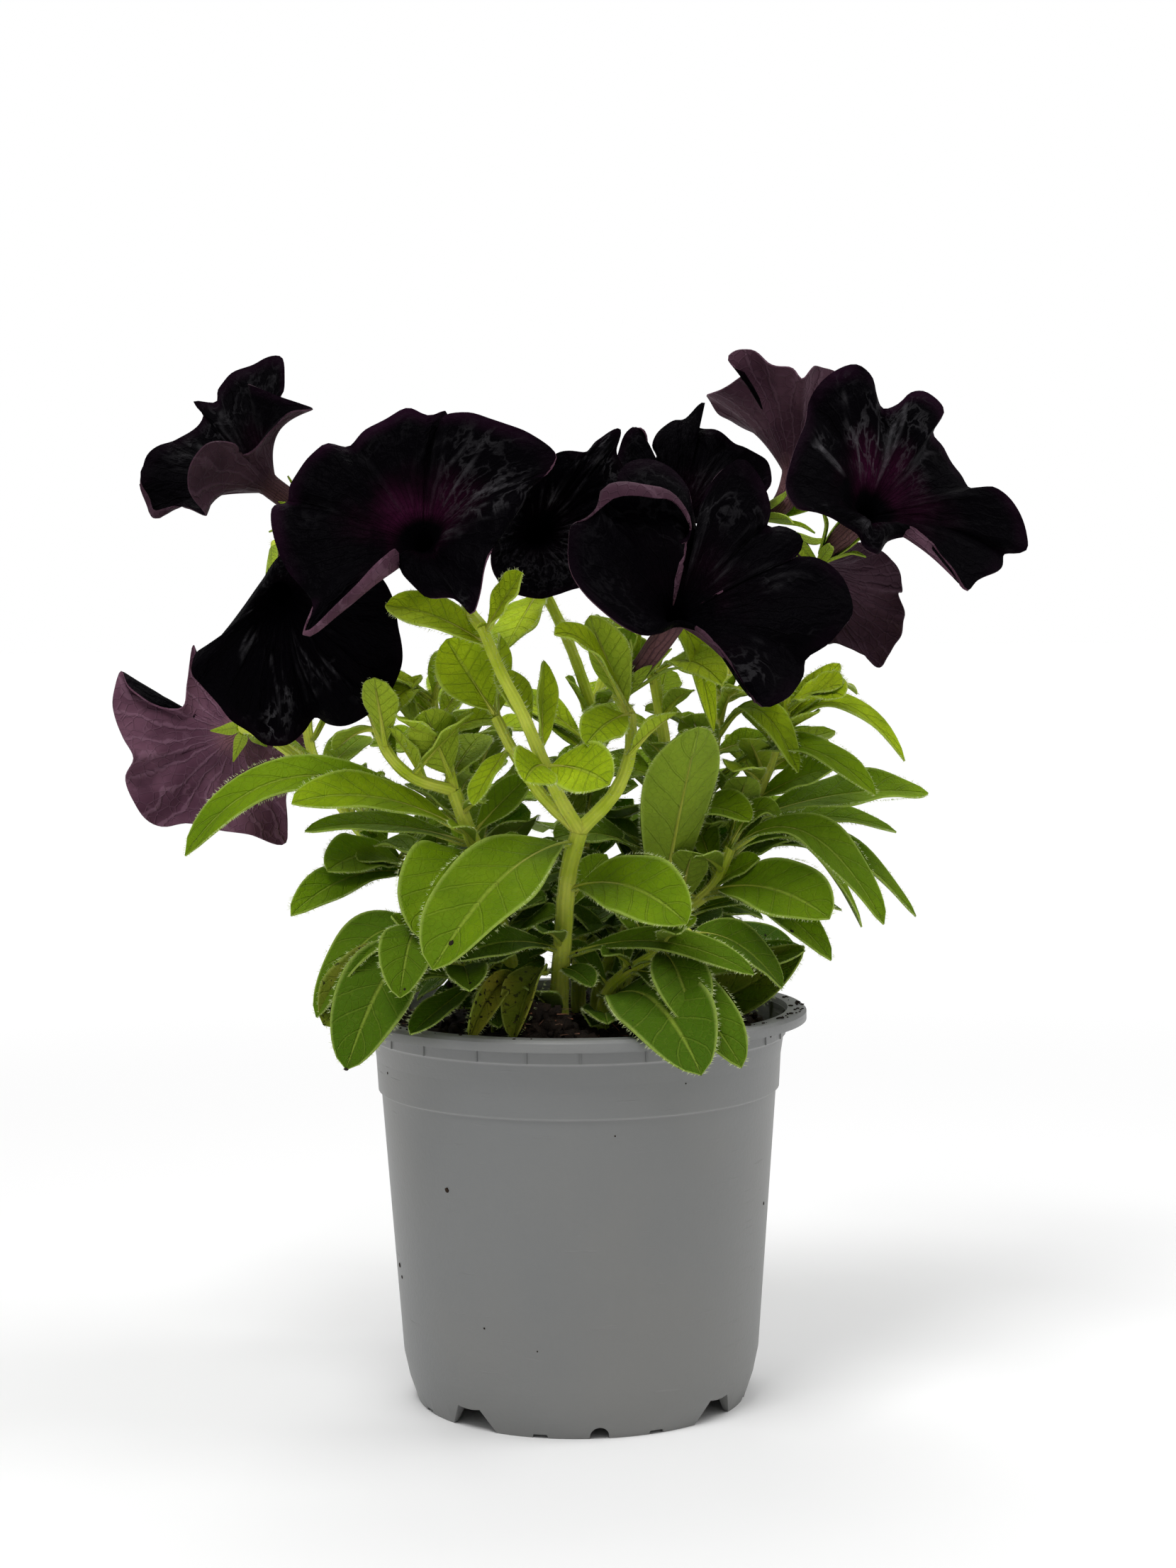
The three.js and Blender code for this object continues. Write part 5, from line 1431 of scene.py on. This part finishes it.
def soil_height(x, y):
    base = curve(SOIL_TOP, np.hypot(x, y))
    lump = 1.6 * np.sin(x * 0.21 + 1.3) * np.cos(y * 0.17) + 0.9 * np.sin(x * 0.47 - y * 0.39)
    fine = (0.5 * np.sin(x * 1.3 + y * 0.9) * np.sin(y * 1.7 - x * 0.6)
            + 0.3 * np.sin(x * 2.9) * np.sin(y * 3.1))
    return base + lump + fine


def soil_form(across, along):
    """Bed from the middle of its top, out to the wall and down, and back to the middle below"""
    turn = across * TURN
    radius = curve(BED_RADIUS, along)
    x, y = radius * np.cos(turn), radius * np.sin(turn)
    top = np.where(radius < 0.01, SOIL_TOP[0][1], soil_height(x, y))
    return np.stack([x, y, np.where(along <= BED_HEIGHT[0][0], top, curve(BED_HEIGHT, along))], axis=1)


def scattered(draw, count, reach):
    """Spots spread evenly over the soil"""
    radius, angle = reach * np.sqrt(draw.uniform(0, 1, count)), draw.uniform(0, TURN, count)
    return radius * np.cos(angle), radius * np.sin(angle)


def heaped(draw, x, y, moved, spread, reach):
    """The spots with some moved to the heap, and all kept within a reach of the pot's middle"""
    x = np.where(moved, HEAP[0] + draw.normal(0, spread[0], len(x)), x)
    y = np.where(moved, HEAP[1] + draw.normal(0, spread[1], len(y)), y)
    inward = np.minimum(1, reach / np.maximum(np.hypot(x, y), 1))
    return x * inward, y * inward


class PETUNIA_OT_soil(Operator):
    """Make the soil: a lumpy bed with crumbs and bark fibres on top"""

    bl_idname = "petunia.soil"
    bl_label = "Soil"

    def execute(self, context):
        looks = context.scene.petunia_soil
        bed = shaped(sheet_blank(120, 60), soil_form)
        merge(bed)
        recalculate(bed)
        draw = np.random.default_rng(11)
        template, count = crumb_template(draw), looks.crumbs
        x, y = scattered(draw, count, 55.5)
        size = np.minimum(draw.gamma(2.0, 0.35, count) + 0.35, 2.6)
        moved = np.arange(count) < looks.heap
        x, y = heaped(draw, x, y, moved, (8, 3), 54)
        slope = np.clip(1 - np.hypot((x - HEAP[0]) / HEAP_REACH[0], (y - HEAP[1]) / HEAP_REACH[1]), 0, 1)
        lift = np.where(moved, HEAP[2] * slope * draw.uniform(0.2, 1, count), 0)
        at = np.stack([x, y, soil_height(x, y) + size * 0.3 + lift], axis=1)
        axes = axes_from(draw.normal(0, 1, (count, 3)), size, size * draw.uniform(0.6, 1.3, count))
        crumbs = stamped("crumbs", template, axes, at)
        count = looks.fibres
        x, y = scattered(draw, count, 54)
        lean = draw.normal(0, 1, (count, 3)) * (1, 1, 0.25)
        long = draw.uniform(2.5, 8, count)
        moved = np.arange(count) < count // 4
        x, y = heaped(draw, x, y, moved, (6, 2), 52)
        lift = np.where(moved, draw.uniform(2, HEAP[2] - 3, count), 0.7)
        at = np.stack([x, y, soil_height(x, y) + lift], axis=1) - unit(lean) * long[:, None] / 2
        fibres = stamped("fibres", hair_template(), axes_from(lean, np.full(count, 0.22), long), at)
        brown, red = soil_brown(looks), fibre_red(looks)
        for part, material in ((bed, brown), (crumbs, brown), (fibres, red)):
            paint(part, material)
        piece = joined("growing_soil", [bed, crumbs, fibres])
        stand(piece, "soil", "soil")
        smooth(piece, 50)
        return {"FINISHED"}


# The blooms and the shoots

class PETUNIA_OT_blooms(Operator):
    """Make the ten blooms, each a corolla with a tube and five joined petals"""

    bl_idname = "petunia.blooms"
    bl_label = "Blooms"

    def execute(self, context):
        looks = context.scene.petunia_blooms
        blank = sheet_blank(160, 52)
        materials = petal_inside(looks), petal_outside(looks)
        for seed, (name, bloom) in enumerate(BLOOMS.items(), 40):
            form, crests = bloom_forms(bloom, looks.ruffle / MM, seed)
            # The lines value sets how strong the painted highlight on the folds is
            piece = shaped(blank, form, glow=towards(bloom, "glow"), lines=towards(bloom, "lines"),
                           pallor=bloom["pallor"], crest=crests)
            piece.name = piece.data.name = name + "_petals"
            merge(piece)
            paint(piece, *materials)
            stand(piece, "petal", name)
            apply(piece, "SOLIDIFY", thickness=looks.thickness, offset=0, material_offset=1,
                  material_offset_rim=1)
            smooth(piece, 60)
        return {"FINISHED"}


def sepal_form(start, axis, out, seed):
    """One sepal of a calyx: a narrow leaf that hugs the tube and flares at its tip"""
    draw = np.random.default_rng(seed)
    long, flare = draw.uniform(12, 15), draw.uniform(7.5, 10)
    side = np.cross(out, axis)

    def form(across, along):
        u = across * 2 - 1
        height = along * (long + SEPAL_BELOW) - SEPAL_BELOW
        belly = 0.96 * np.sin(math.pi * np.clip(along * 1.3, 0, 1))
        radius = CALYX_RADIUS + belly + (flare - CALYX_RADIUS) * along ** 2.2
        blade = np.sin(math.pi * (0.12 + 0.88 * along) ** 0.8).clip(0) ** 0.7
        half = np.maximum(SEPAL_HALF * blade, 0.1)
        cup = 0.3 * half * np.abs(u) ** 1.5
        return (start + axis * height[:, None] + out * (radius - cup)[:, None]
                + side * (half * u)[:, None])

    return form


def hits_nothing(tree, start, end):
    run = end - start
    return tree.ray_cast(Vector(start * MM), Vector(run), float(np.linalg.norm(run)) * MM)[0] is None


def filler_leaves(shoot, most, obstacles, draw):
    """Small leaves along a shoot and round its foot, left out where one would meet a bloom or the pot"""
    fill = []

    def grow(root, angle, steep, long, rise):
        level = math.cos(steep)
        out = np.array([math.cos(angle) * level, math.sin(angle) * level, math.sin(steep)])
        width, roll = long * draw.uniform(0.36, 0.5), draw.uniform(-25, 25)
        leaf = new_leaf(root, root + out * long, width, rise, roll, filler=True)
        at, _, side, _ = leaf_line(leaf, np.array([0.15, 0.4, 0.7, 1.0]))
        edge = side * width * 0.45
        if all(hits_nothing(obstacles, a, b)
               for run in (at, at + edge, at - edge) for a, b in zip(run[:-1], run[1:])):
            fill.append(leaf)

    for stem, (_, _, route) in enumerate(shoot["stems"]):
        line = Route(route)
        count = int(most * min(1, line.length / FILLED_LENGTH))
        for i in range(count):
            place = (i + 0.5) / count
            if stem == 0:
                place = 0.3 + 0.68 * place
            root = line.at(place)
            if root[2] > SOIL_CLEAR:
                grow(root, math.radians(40 + GOLDEN_ANGLE * i + 30 * stem), draw.uniform(0.25, 1.05),
                     draw.uniform(17, 35) * (1 - 0.3 * place), draw.uniform(1, 5))
    foot = Route(shoot["stems"][0][2])
    outward = math.atan2(*foot.at(0.3)[1::-1])
    for _ in range(FOOT_LEAVES if foot.at(0)[1] > FRONT_FEET else FRONT_FOOT_LEAVES):
        grow(foot.at(draw.uniform(0.12, 0.28)), outward + draw.uniform(-1.5, 1.5), draw.uniform(0.0, 0.6),
             draw.uniform(13, 27), draw.uniform(3, 8))
    return fill


def shoot_hairs(name, leaves, lines, spike, long, draw):
    """Fine hairs on the margins of the leaves and all over the stems"""
    at, out, lengths = [], [], []
    for leaf in leaves:
        small = leaf.get("filler")
        count = int(np.linalg.norm(leaf["tip"] - leaf["root"]) * (1.6 if small else 2.6))
        for way in (-1, 1):
            t = np.sort(draw.uniform(0.02, 1, count))
            middle, tangent, side, face = leaf_line(leaf, t)
            at.append(middle + (side * way + face * LEAF_CUP) * half_width(leaf, t)[:, None])
            out.append(side * way + tangent * 0.35 + draw.normal(0, 0.3, (count, 3)))
            lengths.append(draw.uniform(0.5, 1.0, count) * long * (0.8 if small else 1))
    for route, start, end in lines:
        count = int(route.length * 5)
        share = draw.uniform(0.1, 1, count)
        tangent = unit(route.at(np.clip(share + 0.01, 0, 1)) - route.at(np.clip(share - 0.01, 0, 1)))
        aside = unit(np.cross(tangent, draw.normal(0, 1, (count, 3))))
        radius = start + (end - start) * share
        at.append(route.at(share) + aside * (radius * 0.97)[:, None])
        out.append(aside + tangent * 0.25 + draw.normal(0, 0.15, (count, 3)))
        lengths.append(draw.uniform(0.6, 1.3, count) * long)
    at = np.concatenate(at)
    axes = axes_from(np.concatenate(out), np.full(len(at), HAIR_RADIUS), np.concatenate(lengths))
    return stamped(name + "_hairs", spike, axes, at, age=0)


class PETUNIA_OT_shoots(Operator):
    """Make the twelve leafy shoots: stems, leaves, bloom stalks and calyces, with fine hairs"""

    bl_idname = "petunia.shoots"
    bl_label = "Shoots"

    def execute(self, context):
        looks = context.scene.petunia_leaves
        large, small, tiny = sheet_blank(14, 30), sheet_blank(10, 20), sheet_blank(6, 10)
        round_blank, rib_blank = sheet_blank(12, 36), sheet_blank(6, 14)
        greens = leaf_green(looks, "leaf_top"), leaf_green(looks, "leaf_under", True)
        stem_look, hair_look = stem_green(looks), hair_white(looks)
        spike = hair_template()
        petals = [bpy.data.objects[bloom + "_petals"] for bloom in BLOOMS]
        obstacles = tree_of([*petals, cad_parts["pot"]])
        for number, (name, shoot) in enumerate(SHOOTS.items()):
            draw = np.random.default_rng(300 + number)
            tree = tree_of([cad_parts[name]])
            leaves = [as_in_frame(leaf, tree) for leaf in leaves_of(shoot)]
            leaves += [new_leaf(*shape, cup=cup, dry=dry) for *shape, cup, dry in shoot.get("more", ())]
            leaves += filler_leaves(shoot, looks.filler * shoot.get("filler", 1), obstacles, draw)
            flat, rounds = [], []
            for i, leaf in enumerate(leaves):
                blank = tiny if leaf.get("filler") else large if leaf["width"] > LARGE_LEAF else small
                age = np.clip(age_and_shade_of(leaf) + draw.uniform(-0.12, 0.12), 0, 1)
                dry = leaf.get("dry", 0)
                flat.append(shaped(blank, leaf_form(leaf, 1000 * number + i), age=age, dry=dry))
                rounds.append(shaped(rib_blank, rib_form(leaf), age=age, dry=dry))
            lines = [(Route(route), start * 1.12, end * 1.15) for start, end, route in shoot["stems"]]
            for bloom, stem, via in shoot.get("blooms", ()):
                (start,), (axis,) = bloom_line(BLOOMS[bloom], np.array([0.0]))
                points = [shoot["stems"][stem][2][-1], *via, start - axis * STALK_BACK]
                lines.append((Route(points), *STALK_RADIUS))
                cup = Route([start + axis * far for far in CUP_PLACES])
                rounds.append(shaped(round_blank, stem_form(cup, *CUP_RADIUS), age=0.1))
                side = square_to(axis)
                for i in range(PETALS):
                    form = sepal_form(start, axis, spin_about(side, axis, i * TURN / PETALS), 50 * number + i)
                    flat.append(shaped(tiny, form, age=0.25))
            for route, start, end in lines:
                # Lower stems are darker: partly their age, partly painted shade
                age = np.clip((170 - route.at(0.5)[2]) / 120, 0, 1)
                rounds.append(shaped(round_blank, stem_form(route, start, end, 0.03), age=age))
            blades, stems = joined(name + "_blades", flat), joined(name + "_stems", rounds)
            paint(blades, *greens)
            apply(blades, "SOLIDIFY", thickness=looks.thickness, offset=0, material_offset=1)
            merge(stems)
            paint(stems, stem_look)
            hairs = shoot_hairs(name, leaves, lines, spike, looks.hair_length / MM, draw)
            paint(hairs, hair_look)
            piece = joined(name + "_green", [blades, stems, hairs])
            stand(piece, "leaf", name)
            smooth(piece, 70)
        return {"FINISHED"}


class PETUNIA_OT_specks(Operator):
    """Make the specks of soil that lie on the low leaves, the pot and its rim"""

    bl_idname = "petunia.specks"
    bl_label = "Soil specks"

    def execute(self, context):
        draw = np.random.default_rng(19)
        at, out, size = [], [], []
        for angle, z, wide in POT_SPECKS:
            turn = math.radians(angle)
            out.append([math.cos(turn), math.sin(turn), 0])
            at.append(np.array(out[-1]) * curve([(high, r) for r, high in POT_WALL], z) + UP * z)
            size.append(wide * 0.6)
        for turn in np.radians([*draw.uniform(-60, 20, 26), *draw.uniform(-180, 180, 60)]):
            out.append([0, 0, 1])
            at.append([math.cos(turn) * draw.uniform(60, 64), math.sin(turn) * draw.uniform(60, 64),
                       RIM_HEIGHT])
            size.append(draw.gamma(2.0, 0.12) + 0.12)
        for name in SHOOTS:
            blades = bpy.data.objects[name + "_green"].data
            faces = [f for f in blades.polygons if f.material_index == 0 and f.center[2] < SPECKED_BELOW]
            for face in draw.choice(len(faces), min(len(faces), 40), replace=False) if faces else ():
                if draw.uniform() < (SPECKED_BELOW - faces[face].center[2]) / 0.045:
                    out.append(list(faces[face].normal))
                    at.append(np.array(faces[face].center) / MM)
                    size.append(draw.gamma(2.0, 0.1) + 0.1)
        size = np.array(size)
        axes = axes_from(np.array(out), size * draw.uniform(0.7, 1.6, len(size)), size * 0.7)
        piece = stamped("soil_specks", crumb_template(draw), axes, np.array(at))
        paint(piece, bpy.data.materials["soil_brown"])
        stand(piece, "soil")
        return {"FINISHED"}


# The stage

class PETUNIA_OT_stage(Operator):
    """Make the pale floor, the soft lights and the camera"""

    bl_idname = "petunia.stage"
    bl_label = "Stage"

    def execute(self, context):
        scene = context.scene
        put_down()
        bpy.ops.mesh.primitive_circle_add(vertices=96, radius=60, fill_type="NGON")
        floor = context.object
        floor.name = "floor"
        finish = Finish("floor_pale", {
            "Roughness": 0.9, "Specular IOR Level": 0.1, "Emission Strength": 1.0})
        far = finish.node("ShaderNodeVectorMath", {"operation": "LENGTH"}, {0: finish.own_place()}, 1)
        away = far.above(0.25, 0.9)
        finish.set({
            "Base Color": finish.mix(away, (0.9, 0.9, 0.9), (0, 0, 0)),
            "Emission Color": finish.mix(away, (0, 0, 0), (1, 1, 1))})
        paint(floor, finish.material)
        scene.world = scene.world or bpy.data.worlds.new("studio")
        scene.world.use_nodes = True
        sky = scene.world.node_tree
        background = sky.nodes["Background"]
        background.inputs["Color"].default_value = (1, 1, 1, 1)
        rays, level = sky.nodes.new("ShaderNodeLightPath"), sky.nodes.new("ShaderNodeMapRange")
        level.inputs["To Min"].default_value, level.inputs["To Max"].default_value = SKY_LIGHT, 1
        sky.links.new(rays.outputs["Is Camera Ray"], level.inputs["Value"])
        sky.links.new(level.outputs[0], background.inputs["Strength"])
        for name, place, size, power in LIGHTS:
            light = bpy.data.lights.new(name, "AREA")
            light.size, light.energy = size, power
            lamp = new_object(name, light)
            lamp.location = place
            lamp.rotation_euler = (LIGHTS_AIM - Vector(place)).to_track_quat("-Z", "Y").to_euler()
        camera = new_object("camera", bpy.data.cameras.new("camera"))
        camera.location = CAMERA_PLACE
        camera.rotation_euler = [math.radians(degrees) for degrees in CAMERA_TURN]
        camera.data.sensor_fit = "VERTICAL"
        camera.data.sensor_height = 36
        camera.data.lens = 36 * FOCAL_LENGTH / PHOTO_HEIGHT
        scene.camera = camera
        scene.view_settings.view_transform = "Standard"
        return {"FINISHED"}


STEPS = (
    PETUNIA_OT_pot, PETUNIA_OT_soil, PETUNIA_OT_blooms, PETUNIA_OT_shoots,
    PETUNIA_OT_specks, PETUNIA_OT_stage,
)

GROUPS = {
    "petunia_blooms": PetuniaBloomSettings, "petunia_leaves": PetuniaLeafSettings,
    "petunia_pot": PetuniaPotSettings, "petunia_soil": PetuniaSoilSettings,
}


class PETUNIA_PT_panel(Panel):
    """Lists the settings and the steps of the potted petunia"""

    bl_idname = "PETUNIA_PT_panel"
    bl_label = "Potted petunia"
    bl_space_type = "VIEW_3D"
    bl_region_type = "UI"
    bl_category = "Petunia"

    def draw(self, context):
        for name, group in GROUPS.items():
            box = self.layout.box()
            for setting in group.__annotations__:
                box.prop(getattr(context.scene, name), setting)
        for step in STEPS:
            self.layout.operator(step.bl_idname)


CLASSES = (*GROUPS.values(), *STEPS, PETUNIA_PT_panel)


def register():
    for part in CLASSES:
        bpy.utils.register_class(part)
    for name, group in GROUPS.items():
        setattr(bpy.types.Scene, name, PointerProperty(type=group))


def unregister():
    for name in GROUPS:
        delattr(bpy.types.Scene, name)
    for part in reversed(CLASSES):
        bpy.utils.unregister_class(part)


def main():
    register()
    for step in STEPS:
        group, name = step.bl_idname.split(".")
        getattr(getattr(bpy.ops, group), name)()


if __name__ == "__main__":
    main()
